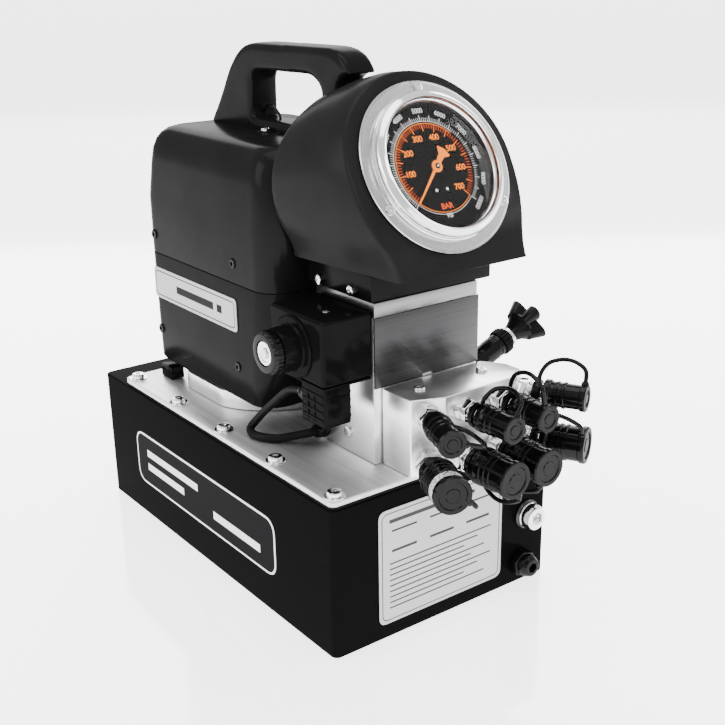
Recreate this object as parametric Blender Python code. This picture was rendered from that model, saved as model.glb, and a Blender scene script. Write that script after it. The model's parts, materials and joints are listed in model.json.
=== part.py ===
"""Electric hydraulic power unit: oil tank, motor under a carry-handle cover, valve block, gauge and ports.

Metres, +Z up.  The origin is the centre of the tank's underside, -Y is the gauge and port side.
Distances called "set back" are measured from the tank's front face towards +Y.
"""
from math import cos, pi, radians, sin

import bmesh
import bpy
from mathutils import Matrix, Vector

GAP = 0.0003                 # clearance left wherever two pieces meet

# Tank and lid
TANK_WIDTH = 0.217
TANK_LENGTH = 0.375
TANK_HEIGHT = 0.122
TANK_WALL = 0.003
TANK_CORNER = 0.006
TANK_RIM = 0.016             # width of the inward rim that carries the gasket
LID_REAR_LEDGE = 0.041       # closed strip of tank top behind the lid
GASKET_THICK = 0.002
LID_THICK = 0.005
LID_MARGIN = 0.001

# Valve block, its plates, and the port manifold
BLOCK_CENTRE_X = 0.00625
BLOCK_WIDTH = 0.1015
BLOCK_DEPTH = 0.072
BLOCK_HEIGHT = 0.1163
BLOCK_SET_BACK = 0.033
FRONT_PLATE_THICK = 0.0015
TOP_PLATE_THICK = 0.0111
TOP_PLATE_INSET = 0.0015
NOTCH_WIDTH = 0.012
MANIFOLD_HEIGHT = 0.0612
MANIFOLD_LEFT = 0.0064       # from the block's left face to the manifold's left face
MANIFOLD_WIDTH = 0.1088
MANIFOLD_NOSE = 0.0122       # how far the middle facet stands in front of the tank
FACET_LEFT = 0.025           # plan length along X of each outer facet
FACET_RIGHT = 0.0165
FACET_LEFT_ANGLE = radians(22)
FACET_RIGHT_ANGLE = radians(28.5)
PORT_ROW_LOW = 0.0105        # heights of the two rows of ports over the lid
PORT_ROW_HIGH = 0.0485

# Couplers and dust caps, heights along each port's axis
HIGH_COUPLER = dict(stub=0.0060, hex=0.0085, neck=0.0075, nose=0.0066, length=0.042)
LOW_COUPLER = dict(stub=0.0060, hex=0.0105, neck=0.0100, nose=0.0105, length=0.044)
COUPLER_HEX_HEIGHT = 0.012
COUPLER_NECK_HEIGHT = 0.020
STUB_DEPTH = 0.007
CAP_START = 0.0225
CAP_WALL = 0.0024
CAP_RIM = 0.0016
CAP_RIM_HEIGHT = 0.005
CAP_FIT = 0.0003             # air between a cap and the nose it covers
CAP_END = 0.0135             # solid end of a cap beyond the nose

# Motor, pump and cover
MOTOR_X = 0.002
MOTOR_SET_BACK = 0.240
MOTOR_BASE_RADIUS = 0.082
MOTOR_BASE_HEIGHT = 0.0157
MOTOR_BASE_HALF_WIDTH = 0.0768
MOTOR_CLEARANCE = 0.0003     # running clearance between rotor and stator
STATOR_RADIUS = 0.060
STATOR_HEIGHT = 0.092
ROTOR_RADIUS = 0.036
SHAFT_RADIUS = 0.007
SHAFT_BORE = 0.0073
FAN_RADIUS = 0.056
FAN_LIFT = 0.012             # from the stator's top to the fan
FAN_THICK = 0.004
FAN_BLADES = 7
FAN_BLADE_HEIGHT = 0.014
PUMP_RADIUS = 0.040
PUMP_HEIGHT = 0.046
STRAINER_RADIUS = 0.022
FLOOR_CLEARANCE = 0.008
COVER_CENTRE_X = 0.002
COVER_WIDTH = 0.159
COVER_SET_BACK = 0.121
COVER_LENGTH = 0.209
COVER_WALL = 0.004
COVER_CORNER = 0.024
COVER_LIFT = MOTOR_BASE_HEIGHT + 0.0023    # from the lid to the cover's lower edge
COVER_SEAM = 0.1183          # from the lid to the seam
COVER_TOP = 0.229            # from the lid to the top of the cover
COVER_FRONT_RAKE = 0.015     # how far the lower cover's front edge tucks back
HANDLE_TOP = 0.2995          # from the lid
HANDLE_WIDTH = 0.028
HANDLE_BAR = 0.0225
HANDLE_ROUND = 0.008
BADGE_LENGTH = 0.142
BADGE_HEIGHT = 0.028
BADGE_THICK = 0.001

# Solenoid on the block's left side
COIL_WIDTH = 0.045
COIL_DEPTH = 0.068
COIL_HEIGHT = 0.052
COIL_FLOOR = 0.070           # from the lid to the coil's underside
BOSS_RADIUS = 0.017
BOSS_LENGTH = 0.018
TUBE_RADIUS = 0.0095
TUBE_BORE = 0.0071
PIN_RADIUS = 0.004
PIN_FIT = 0.00015
SPOOL_RADIUS = 0.006
SPOOL_FIT = 0.00005
SPOOL_LENGTH = 0.056
NUT_RADIUS = 0.0165
NUT_LENGTH = 0.008
CONNECTOR_WIDTH = 0.026
CONNECTOR_DEPTH = 0.032
CONNECTOR_HEIGHT = 0.032
GLAND_RADIUS = 0.0065
CABLE_RADIUS = 0.0033

# Gauge in its tilted housing
GAUGE_X = 0.0157
GAUGE_SET_BACK = 0.0352
GAUGE_HEIGHT = 0.219         # centre of the flange over the lid
GAUGE_TILT = radians(28.4)
FLANGE_RADIUS = 0.066
FLANGE_THICK = 0.0025
CASE_RADIUS = 0.0505
CASE_DEPTH = 0.036
CASE_WALL = 0.002
BEZEL_RADIUS = 0.0555
BEZEL_BORE = 0.0490
BEZEL_HEIGHT = 0.011
DIAL_RADIUS = 0.0475
DIAL_DEPTH = 0.007           # dial face below the flange's front
LENS_THICK = 0.002
POINTER_LENGTH = 0.031
POINTER_HUB = 0.0042
FLANGE_SCREW_CIRCLE = 0.0605
FLANGE_SCREW_ANGLES = (86, 206, 326)
HOUSING_WALL = 0.003
HOUSING_HALF_WIDTH = 0.0765
HOUSING_RISE = 0.075         # from the gauge's centre to the top of the housing's front
HOUSING_BACK_HALF_WIDTH = 0.084
HOUSING_BACK_RISE = 0.066
HOUSING_BACK_DROP = 0.013    # widest level of the back below the gauge's centre
HOUSING_BACK_SHIFT = 0.0062  # the back sits this far to the left
HOUSING_DEPTH = 0.0828       # from the gauge's centre to the back plane
# Half width at each fraction of the way down to the floor
HOUSING_SKIRT = ((1.0, 0.79), (0.93, 0.795), (0.84, 0.815), (0.72, 0.855), (0.58, 0.915), (0.42, 0.96), (0.25, 0.99))
BRACKET_HEIGHT = 0.0207
BRACKET_DEPTH = 0.080
BRACKET_LEFT = 0.0020        # overhang past the block, left and right
BRACKET_RIGHT = 0.0123
STEM_RADIUS = 0.007
STEM_SET_BACK = 0.040

# Relief valve on the block's right side
RELIEF_SET_BACK = 0.043
RELIEF_HEIGHT = 0.0515       # over the lid, where its axis meets the block
RELIEF_RISE = radians(23)
RELIEF_BODY = 0.0095
RELIEF_BORE = 0.0052
RELIEF_BODY_END = 0.036
KNOB_RADIUS = 0.020
KNOB_LOBES = 4

# Fittings and label on the tank's front
FITTING_RADIUS = 0.0125
FITTING_FROM_SIDE = 0.023
FITTING_HEIGHT = 0.060
DRAIN_RADIUS = 0.011
DRAIN_FROM_SIDE = 0.030
DRAIN_HEIGHT = 0.019
LABEL_WIDTH = 0.1245
LABEL_HEIGHT = TANK_HEIGHT - 0.026
LABEL_LEFT = 0.041           # from the tank's left side
LABEL_FLOOR = 0.013
LABEL_THICK = 0.0008

FRONT = -TANK_LENGTH / 2
GASKET_TOP = TANK_HEIGHT + GASKET_THICK
LID_TOP = GASKET_TOP + LID_THICK
DECK = LID_TOP + GAP                      # where the pieces on the lid stand
BLOCK_LEFT = BLOCK_CENTRE_X - BLOCK_WIDTH / 2
BLOCK_RIGHT = BLOCK_CENTRE_X + BLOCK_WIDTH / 2
BLOCK_FRONT = FRONT + BLOCK_SET_BACK
BLOCK_TOP = DECK + BLOCK_HEIGHT
BRACKET_FLOOR = BLOCK_TOP + GAP + TOP_PLATE_THICK + GAP
BRACKET_TOP = BRACKET_FLOOR + BRACKET_HEIGHT
HOUSING_FLOOR = BRACKET_TOP + GAP
COIL_RIGHT = BLOCK_LEFT - GAP
COIL_LEFT = COIL_RIGHT - COIL_WIDTH
COIL_FRONT = BLOCK_FRONT
SOLENOID_Y = COIL_FRONT + COIL_DEPTH * 0.54
SOLENOID_Z = LID_TOP + COIL_FLOOR + COIL_HEIGHT * 0.49
COVER_FRONT = FRONT + COVER_SET_BACK
COVER_BACK = COVER_FRONT + COVER_LENGTH
COVER_LEFT = COVER_CENTRE_X - COVER_WIDTH / 2
MOTOR_Y = FRONT + MOTOR_SET_BACK


# ---------------------------------------------------------------- materials

def finish(name, colour, roughness, metallic=0.0):
    material = bpy.data.materials.get(name) or bpy.data.materials.new(name)
    material.use_nodes = True
    shader = material.node_tree.nodes["Principled BSDF"]
    shader.inputs["Base Color"].default_value = (*colour, 1)
    shader.inputs["Roughness"].default_value = roughness
    shader.inputs["Metallic"].default_value = metallic
    return material


FINISHES = {
    "tank_black": ((0.012, 0.012, 0.013), 0.32, 0.0),
    "brushed": ((0.62, 0.62, 0.63), 0.34, 1.0),
    "machined": ((0.72, 0.72, 0.73), 0.28, 1.0),
    "steel": ((0.55, 0.55, 0.56), 0.25, 1.0),
    "chrome": ((0.80, 0.80, 0.81), 0.08, 1.0),
    "cover_black": ((0.020, 0.020, 0.021), 0.42, 0.0),
    "housing_grey": ((0.030, 0.030, 0.031), 0.55, 0.0),
    "bracket_black": ((0.010, 0.010, 0.010), 0.45, 0.0),
    "rubber": ((0.014, 0.014, 0.014), 0.38, 0.0),
    "gasket": ((0.010, 0.010, 0.010), 0.70, 0.0),
    "iron": ((0.20, 0.20, 0.21), 0.50, 1.0),
    "label_silver": ((0.55, 0.55, 0.56), 0.40, 0.4),
    "dial_black": ((0.008, 0.008, 0.009), 0.50, 0.0),
    "pointer_orange": ((1.0, 0.33, 0.02), 0.45, 0.0),
    "lens": ((0.95, 0.95, 0.95), 0.03, 0.0),
}


# ---------------------------------------------------------------- shape tools

def add(name, mesh_data, slot, smooth=False):
    """Turn a bmesh into a named object with one material."""
    bmesh.ops.recalc_face_normals(mesh_data, faces=mesh_data.faces)
    mesh = bpy.data.meshes.new(name)
    mesh_data.to_mesh(mesh)
    mesh_data.free()
    piece = bpy.data.objects.new(name, mesh)
    bpy.context.scene.collection.objects.link(piece)
    mesh.materials.append(finish(slot, *FINISHES[slot]))
    if smooth:
        mesh.shade_smooth()
        mesh.set_sharp_from_angle(angle=radians(35))
    return piece


def loft(name, sections, slot, smooth=False, ring=False):
    """Skin through loops of equal length; a ring closes on itself, otherwise both ends are capped."""
    data = bmesh.new()
    loops = [[data.verts.new(point) for point in section] for section in sections]
    pairs = list(zip(loops, loops[1:]))
    if ring:
        pairs.append((loops[-1], loops[0]))
    count = len(loops[0])
    for low, high in pairs:
        for i in range(count):
            j = (i + 1) % count
            data.faces.new((low[i], low[j], high[j], high[i]))
    if not ring:
        data.faces.new(list(reversed(loops[0])))
        data.faces.new(loops[-1])
    return add(name, data, slot, smooth)


def prism(name, outline, low, high, slot):
    """A plan outline raised from one height to another."""
    return loft(name, [[(x, y, z) for x, y in outline] for z in (low, high)], slot)


def rounded(width, depth, radius, centre=(0, 0), steps=4):
    """A rounded rectangle in plan, anticlockwise."""
    corners = [(1, 1, 0), (-1, 1, 90), (-1, -1, 180), (1, -1, 270)]
    points = []
    for side_x, side_y, start in corners:
        middle_x = centre[0] + side_x * (width / 2 - radius)
        middle_y = centre[1] + side_y * (depth / 2 - radius)
        for step in range(steps + 1):
            angle = radians(start + 90 * step / steps)
            points.append((middle_x + radius * cos(angle), middle_y + radius * sin(angle)))
    return points


def box(name, low, high, slot, bevel=0.0):
    data = bmesh.new()
    bmesh.ops.create_cube(data, size=1)
    middle = [(a + b) / 2 for a, b in zip(low, high)]
    size = [b - a for a, b in zip(low, high)]
    bmesh.ops.scale(data, vec=size, verts=data.verts)
    bmesh.ops.translate(data, vec=middle, verts=data.verts)
    if bevel:
        bmesh.ops.bevel(data, geom=data.edges[:], offset=bevel, segments=1, affect="EDGES")
    return add(name, data, slot)


def turned(name, profile, slot, steps=24, ring=False):
    """Spin a (radius, height) profile about local Z; a ring's profile closes on itself."""
    data = bmesh.new()
    points = [data.verts.new((radius, 0, height)) for radius, height in profile]
    pairs = list(zip(points, points[1:])) + ([(points[-1], points[0])] if ring else [])
    edges = [data.edges.new(pair) for pair in pairs]
    bmesh.ops.spin(data, geom=points + edges, cent=(0, 0, 0), axis=(0, 0, 1),
                   angle=2 * pi, steps=steps, use_merge=True)
    bmesh.ops.remove_doubles(data, verts=data.verts, dist=0.00001)
    return add(name, data, slot, smooth=True)


def hexed(name, stations, slot, steps=18):
    """Sections along local Z, each (half width, height, is_hexagonal), capped at both ends."""
    sections = []
    for half, height, six_sided in stations:
        section = []
        for step in range(steps):
            angle = 2 * pi * step / steps
            reach = half / cos((angle + pi / 6) % (pi / 3) - pi / 6) if six_sided else half
            section.append((reach * cos(angle), reach * sin(angle), height))
        sections.append(section)
    return loft(name, sections, slot, smooth=True)


def place(piece, origin, axis):
    """Stand a turned piece at a point with its local Z along an axis."""
    turn = Vector((0, 0, 1)).rotation_difference(Vector(axis).normalized())
    piece.location = origin
    piece.rotation_mode = "QUATERNION"
    piece.rotation_quaternion = turn
    return piece


def rod(name, start, end, radius, slot, steps=24):
    """A plain solid cylinder between two points."""
    start, end = Vector(start), Vector(end)
    length = (end - start).length
    piece = turned(name, [(0, 0), (radius, 0), (radius, length), (0, length)], slot, steps)
    return place(piece, start, end - start)


def boolean(piece, other, operation):
    """Cut or join with a helper solid that stays hidden."""
    modifier = piece.modifiers.new(other.name, "BOOLEAN")
    modifier.operation = operation
    modifier.solver = "EXACT"
    modifier.object = other
    other.hide_render = True
    other.display_type = "WIRE"
    return piece


def cut(piece, *cutters):
    for cutter in cutters:
        boolean(piece, cutter, "DIFFERENCE")
    return piece


def fuse(piece, *others):
    for other in others:
        boolean(piece, other, "UNION")
    return piece


# ---------------------------------------------------------------- tank

def lid_outline(inset):
    length = TANK_LENGTH - LID_REAR_LEDGE - 2 * inset
    centre = (0, FRONT + inset + length / 2)
    return rounded(TANK_WIDTH - 2 * inset, length, TANK_CORNER, centre)


def build_tank():
    tank = prism("tank", rounded(TANK_WIDTH, TANK_LENGTH, TANK_CORNER), 0, TANK_HEIGHT, "tank_black")
    hollow = rounded(TANK_WIDTH - 2 * TANK_WALL, TANK_LENGTH - 2 * TANK_WALL, TANK_CORNER / 2)
    chamber = prism("tank_chamber", hollow, TANK_WALL, TANK_HEIGHT - TANK_WALL, "tank_black")
    mouth = prism("tank_mouth", lid_outline(TANK_RIM), TANK_HEIGHT / 2, TANK_HEIGHT + 0.01, "tank_black")
    sight = front_hole("tank_sight_hole", TANK_WIDTH / 2 - FITTING_FROM_SIDE, FITTING_HEIGHT, 0.0083)
    drain = front_hole("tank_drain_hole", TANK_WIDTH / 2 - DRAIN_FROM_SIDE, DRAIN_HEIGHT, 0.0073)
    cut(tank, chamber, mouth, sight, drain)


def front_hole(name, x, z, radius):
    return rod(name, (x, FRONT - 0.01, z), (x, FRONT + 0.01, z), radius, "steel", steps=18)


def build_gasket_and_lid():
    low = TANK_HEIGHT + GAP
    gasket = prism("tank_gasket", lid_outline(0.0015), low, GASKET_TOP, "gasket")
    window = prism("gasket_window", lid_outline(TANK_RIM), low - 0.01, GASKET_TOP + 0.01, "gasket")
    cut(gasket, window)
    edge = lid_outline(LID_MARGIN)
    top = lid_outline(LID_MARGIN + 0.001)
    sections = [[(x, y, GASKET_TOP + GAP) for x, y in edge], [(x, y, LID_TOP - 0.001) for x, y in edge],
                [(x, y, LID_TOP) for x, y in top]]
    lid = loft("cover_plate", sections, "brushed")
    shaft_hole = rod("lid_shaft_hole", (MOTOR_X, MOTOR_Y, TANK_HEIGHT - 0.01),
                     (MOTOR_X, MOTOR_Y, LID_TOP + 0.01), 0.020, "steel")
    cut(lid, shaft_hole)


def build_tank_fittings():
    sight_x = TANK_WIDTH / 2 - FITTING_FROM_SIDE
    sight = turned("level_fitting", [
        (0, -0.008), (0.008, -0.008), (0.008, GAP), (FITTING_RADIUS, GAP), (FITTING_RADIUS, 0.005),
        (0.0115, 0.006), (0.0115, 0.011), (0.0095, 0.013), (0.0055, 0.013), (0.0055, 0.008), (0, 0.008),
    ], "chrome")
    place(sight, (sight_x, FRONT, FITTING_HEIGHT), (0, -1, 0))
    drain = hexed("drain_plug", [
        (0.007, -0.008, False), (0.007, GAP, False), (DRAIN_RADIUS, GAP, True), (DRAIN_RADIUS, 0.010, True),
        (0.0085, 0.012, False), (0.0075, 0.017, False),
    ], "rubber")
    place(drain, (TANK_WIDTH / 2 - DRAIN_FROM_SIDE, FRONT, DRAIN_HEIGHT), (0, -1, 0))
    left = -TANK_WIDTH / 2 + LABEL_LEFT
    box("front_label_plate", (left, FRONT - GAP - LABEL_THICK, LABEL_FLOOR),
        (left + LABEL_WIDTH, FRONT - GAP, LABEL_FLOOR + LABEL_HEIGHT), "label_silver")


# ---------------------------------------------------------------- valve block and manifold

def build_block():
    back = BLOCK_FRONT + BLOCK_DEPTH
    block = box("valve_block", (BLOCK_LEFT, BLOCK_FRONT, DECK), (BLOCK_RIGHT, back, BLOCK_TOP), "machined")
    spool_end = BLOCK_LEFT + SPOOL_LENGTH + 0.010
    bore = rod("spool_bore", (BLOCK_LEFT - 0.01, SOLENOID_Y, SOLENOID_Z), (spool_end, SOLENOID_Y, SOLENOID_Z),
               SPOOL_RADIUS + SPOOL_FIT, "steel")
    origin, axis = relief_axis()
    seat = rod("relief_seat_bore", origin - axis * 0.014, origin + axis * 0.010, 0.0063, "steel", steps=18)
    wire_way = rod("cable_way", (BLOCK_LEFT - 0.01, block_gland_y(), block_gland_z()),
                   (BLOCK_LEFT + 0.006, block_gland_y(), block_gland_z()), 0.0043, "steel", steps=12)
    cut(block, bore, seat, wire_way)
    floor = BLOCK_TOP + GAP
    top = box("valve_top_plate", (BLOCK_LEFT, BLOCK_FRONT - FRONT_PLATE_THICK, floor),
              (BLOCK_RIGHT - TOP_PLATE_INSET, back, floor + TOP_PLATE_THICK), "machined", bevel=0.0004)
    stem_x = GAUGE_X
    stem_hole = rod("stem_hole", (stem_x, FRONT + STEM_SET_BACK, floor - 0.01),
                    (stem_x, FRONT + STEM_SET_BACK, HOUSING_FLOOR + 0.02), STEM_RADIUS * 1.2, "steel", steps=16)
    cut(top, stem_hole)
    low = DECK + MANIFOLD_HEIGHT + GAP
    plate = box("valve_front_plate", (BLOCK_LEFT, BLOCK_FRONT - GAP - FRONT_PLATE_THICK, low),
                (BLOCK_RIGHT, BLOCK_FRONT - GAP, BLOCK_TOP), "brushed")
    notch = box("front_plate_notch", (BLOCK_CENTRE_X - NOTCH_WIDTH / 2, BLOCK_FRONT - 0.01, low - 0.01),
                (BLOCK_CENTRE_X + NOTCH_WIDTH / 2, BLOCK_FRONT + 0.01, low + 0.0016), "steel")
    cut(plate, notch)
    return stem_hole


def manifold_outline():
    """Plan outline of the port manifold; its front has an angled facet on each side of a flat one."""
    left = BLOCK_LEFT + MANIFOLD_LEFT
    right = left + MANIFOLD_WIDTH
    nose = FRONT - MANIFOLD_NOSE
    back = BLOCK_FRONT - GAP - FRONT_PLATE_THICK - GAP
    left_corner = nose + FACET_LEFT * sin(FACET_LEFT_ANGLE) / cos(FACET_LEFT_ANGLE)
    right_corner = nose + FACET_RIGHT * sin(FACET_RIGHT_ANGLE) / cos(FACET_RIGHT_ANGLE)
    return [(left, back), (left, left_corner), (left + FACET_LEFT, nose), (right - FACET_RIGHT, nose),
            (right, right_corner), (right, right_corner + 0.0165), (right - 0.011, back)]


def port_stations():
    """Centre and outward direction of each port column, left to right."""
    outline = manifold_outline()
    left_corner, nose_left, nose_right, right_corner = [Vector(point) for point in outline[1:5]]
    across = nose_right - nose_left
    columns = [((left_corner + nose_left) / 2, -FACET_LEFT_ANGLE), (nose_left + across * 0.25, 0),
               (nose_left + across * 0.75, 0), ((nose_right + right_corner) / 2, FACET_RIGHT_ANGLE)]
    stations = []
    for kind, height in (("high", PORT_ROW_HIGH), ("low", PORT_ROW_LOW)):
        for middle, angle in columns:
            origin = Vector((middle.x, middle.y, LID_TOP + height))
            stations.append((kind, origin, Vector((sin(angle), -cos(angle), 0))))
    return stations


def build_manifold():
    outline = manifold_outline()
    rim = 0.0006
    top = DECK + MANIFOLD_HEIGHT
    middle = Vector((sum(x for x, y in outline) / len(outline), sum(y for x, y in outline) / len(outline)))
    shrunk = [tuple(Vector(point) + (middle - Vector(point)).normalized() * rim) for point in outline]
    sections = [[(x, y, DECK) for x, y in outline], [(x, y, top - rim) for x, y in outline],
                [(x, y, top) for x, y in shrunk]]
    manifold = loft("port_manifold", sections, "machined")
    for number, (kind, origin, axis) in enumerate(port_stations(), 1):
        size = HIGH_COUPLER if kind == "high" else LOW_COUPLER
        hole = rod(f"port_hole_{number}", origin - axis * (STUB_DEPTH + 0.001), origin + axis * 0.004,
                   size["stub"] + GAP, "steel", steps=12)
        cut(manifold, hole)


def build_coupler(number, kind, origin, axis):
    size = HIGH_COUPLER if kind == "high" else LOW_COUPLER
    coupler = hexed(f"coupler_{number}", [
        (size["stub"], -STUB_DEPTH, False), (size["stub"], GAP, False), (size["hex"], GAP, True),
        (size["hex"], COUPLER_HEX_HEIGHT, True), (size["neck"], COUPLER_HEX_HEIGHT + 0.0005, False),
        (size["neck"], COUPLER_NECK_HEIGHT, False), (size["nose"], COUPLER_NECK_HEIGHT + 0.0005, False),
        (size["nose"], size["length"] - 0.001, False), (size["nose"] - 0.001, size["length"], False),
    ], "chrome")
    place(coupler, origin, axis)


def build_cap(number, kind, origin, axis):
    """A rubber cup over the coupler's nose; its origin is on the axis that it pulls off along."""
    size = HIGH_COUPLER if kind == "high" else LOW_COUPLER
    bore = size["nose"] + CAP_FIT
    outer = bore + CAP_WALL
    end = size["length"] + CAP_END
    cap = turned(f"dust_cap_{number}", [
        (0, end), (outer - 0.0015, end), (outer, end - 0.0015), (outer, CAP_START + CAP_RIM_HEIGHT),
        (outer + CAP_RIM, CAP_START + CAP_RIM_HEIGHT), (outer + CAP_RIM, CAP_START), (bore, CAP_START),
        (bore, size["length"] + GAP), (0, size["length"] + GAP),
    ], "rubber", steps=18)
    place(cap, origin, axis)


def build_ports():
    build_manifold()
    for number, (kind, origin, axis) in enumerate(port_stations(), 1):
        build_coupler(number, kind, origin, axis)
        build_cap(number, kind, origin, axis)


# ---------------------------------------------------------------- motor, pump and cover

def build_motor():
    reach = MOTOR_BASE_RADIUS
    outline = []
    for step in range(48):
        angle = 2 * pi * step / 48
        x = max(-MOTOR_BASE_HALF_WIDTH, min(MOTOR_BASE_HALF_WIDTH, reach * cos(angle)))
        outline.append((MOTOR_X + x, MOTOR_Y + reach * sin(angle)))
    flange_top = DECK + MOTOR_BASE_HEIGHT
    flange = prism("motor_flange", outline, DECK, flange_top, "machined")
    hole = rod("flange_hole", (MOTOR_X, MOTOR_Y, DECK - 0.01), (MOTOR_X, MOTOR_Y, flange_top + 0.01), 0.018,
               "steel")
    cut(flange, hole)
    low = flange_top + GAP
    high = low + STATOR_HEIGHT
    stator = turned("motor_stator", [
        (ROTOR_RADIUS + MOTOR_CLEARANCE, low), (STATOR_RADIUS, low), (STATOR_RADIUS, high),
        (ROTOR_RADIUS + MOTOR_CLEARANCE, high)], "iron", steps=32, ring=True)
    stator.location = (MOTOR_X, MOTOR_Y, 0)
    fan_floor = high + FAN_LIFT
    shaft_bottom = GASKET_TOP - PUMP_HEIGHT + 0.012
    rotor = turned("motor_rotor", [
        (0, shaft_bottom), (SHAFT_RADIUS, shaft_bottom), (SHAFT_RADIUS, low + 0.006),
        (ROTOR_RADIUS, low + 0.006), (ROTOR_RADIUS, high - 0.006), (SHAFT_RADIUS, high - 0.006),
        (SHAFT_RADIUS, fan_floor + 0.012), (0, fan_floor + 0.012)], "iron", steps=32)
    rotor.location = (MOTOR_X, MOTOR_Y, 0)
    build_fan(fan_floor)
    build_pump()


def build_fan(floor):
    fan = turned("cooling_fan", [
        (SHAFT_BORE, floor), (FAN_RADIUS, floor), (FAN_RADIUS, floor + FAN_THICK),
        (0.014, floor + FAN_THICK), (0.014, floor + 0.010), (SHAFT_BORE, floor + 0.010)],
        "bracket_black", steps=28, ring=True)
    fan.location = (MOTOR_X, MOTOR_Y, 0)
    for number in range(FAN_BLADES):
        turn = Matrix.Rotation(2 * pi * number / FAN_BLADES, 4, "Z")
        top = floor + FAN_THICK + FAN_BLADE_HEIGHT
        blade = box(f"fan_blade_{number + 1}", (0.018, -0.001, floor + FAN_THICK / 2),
                    (FAN_RADIUS - 0.002, 0.001, top), "bracket_black")
        blade.matrix_world = Matrix.Translation((MOTOR_X, MOTOR_Y, 0)) @ turn
        fuse(fan, blade)


def build_pump():
    """Radial piston pump hung under the lid, with its suction strainer."""
    top = GASKET_TOP - GAP
    low = top - PUMP_HEIGHT
    pump = turned("pump_body", [
        (0, low), (PUMP_RADIUS, low), (PUMP_RADIUS, top), (0.011, top), (0.011, low + 0.008),
        (0, low + 0.008)], "iron", steps=28)
    pump.location = (MOTOR_X, MOTOR_Y, 0)
    strainer_top = low - GAP
    strainer = turned("suction_strainer", [
        (0, FLOOR_CLEARANCE), (STRAINER_RADIUS, FLOOR_CLEARANCE), (STRAINER_RADIUS, strainer_top - 0.012),
        (0.008, strainer_top - 0.010), (0.008, strainer_top), (0, strainer_top)], "steel", steps=24)
    strainer.location = (MOTOR_X, MOTOR_Y - PUMP_RADIUS * 0.4, 0)


def cover_section(height, inset, front=0.0, back=0.0, corner=COVER_CORNER):
    """One level of the cover: width inset on both sides, front and back moved in by their own amounts."""
    width = COVER_WIDTH - 2 * inset
    low = COVER_FRONT + inset + front
    high = COVER_BACK - inset - back
    outline = rounded(width, high - low, corner, (COVER_CENTRE_X, (low + high) / 2))
    return [(x, y, LID_TOP + height) for x, y in outline]


def build_cover():
    wall = COVER_WALL
    lower = loft("shroud_lower", [
        cover_section(COVER_LIFT, 0, COVER_FRONT_RAKE, 0.004),
        cover_section(COVER_LIFT + 0.035, 0, COVER_FRONT_RAKE * 0.55, 0.002),
        cover_section(COVER_SEAM, 0)], "cover_black", smooth=True)
    lower_space = loft("lower_space", [
        cover_section(COVER_LIFT - 0.01, wall, COVER_FRONT_RAKE, 0.004, COVER_CORNER - wall),
        cover_section(COVER_LIFT + 0.035, wall, COVER_FRONT_RAKE * 0.55, 0.002, COVER_CORNER - wall),
        cover_section(COVER_SEAM + 0.01, wall, corner=COVER_CORNER - wall)], "cover_black")
    cut(lower, lower_space)
    shoulder = COVER_SEAM + 0.050
    upper = loft("shroud_upper", [
        cover_section(COVER_SEAM + GAP, 0), cover_section(shoulder, 0),
        cover_section(COVER_TOP - 0.030, 0.003), cover_section(COVER_TOP - 0.012, 0.0065),
        cover_section(COVER_TOP - 0.004, 0.011), cover_section(COVER_TOP, 0.019)],
        "cover_black", smooth=True)
    upper_space = loft("upper_space", [
        cover_section(COVER_SEAM - 0.01, wall, corner=COVER_CORNER - wall),
        cover_section(shoulder, wall, corner=COVER_CORNER - wall),
        cover_section(COVER_TOP - 0.030, wall + 0.003, corner=COVER_CORNER - wall),
        cover_section(COVER_TOP - 0.012, wall + 0.009, corner=COVER_CORNER - wall),
        cover_section(COVER_TOP - wall, wall + 0.017, corner=COVER_CORNER - wall)], "cover_black")
    cut(upper, upper_space)
    fuse(upper, build_handle())
    badge_back = COVER_FRONT + COVER_LENGTH * 0.918
    badge_top = LID_TOP + COVER_SEAM - 0.0125
    box("shroud_badge", (COVER_LEFT - GAP - BADGE_THICK, badge_back - BADGE_LENGTH, badge_top - BADGE_HEIGHT),
        (COVER_LEFT - GAP, badge_back, badge_top), "label_silver")
    gland_z = LID_TOP + COVER_LIFT + 0.030
    start = Vector((COVER_CENTRE_X + 0.035, COVER_BACK, gland_z))
    gland = turned("mains_gland", [(0, -0.010), (0.006, -0.010), (0.006, GAP), (0.010, GAP), (0.010, 0.006),
                                   (0.007, 0.008), (0.0055, 0.018), (0, 0.018)], "rubber", steps=18)
    place(gland, start, (0, 1, 0))
    behind, ahead = start - Vector((0, 0.02, 0)), start + Vector((0, 0.01, 0))
    cut(lower, rod("gland_hole", behind, ahead, 0.0063, "steel", steps=18))


def handle_points():
    """Side outline of the carry handle (y, z), rising from the front and back of the cover's top."""
    top = LID_TOP + HANDLE_TOP
    base = LID_TOP + COVER_TOP
    front, back = COVER_FRONT, COVER_BACK - 0.006
    return [(front + 0.016, base - 0.030), (front + 0.0008, base - 0.024), (front - 0.0008, base + 0.037),
            (front - 0.003, base + 0.0480), (front - 0.015, base + 0.0525), (front - 0.0205, top - 0.018),
            (front - 0.009, top - 0.006), (front + 0.001, top - 0.001), (front + 0.015, top + 0.0005),
            (back - 0.086, top - 0.001), (back - 0.070, top - 0.004), (back - 0.056, top - 0.013),
            (back - 0.044, top - 0.026), (back - 0.024, base + 0.020), (back - 0.008, base - 0.002),
            (back - 0.012, base - 0.014)]


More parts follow.
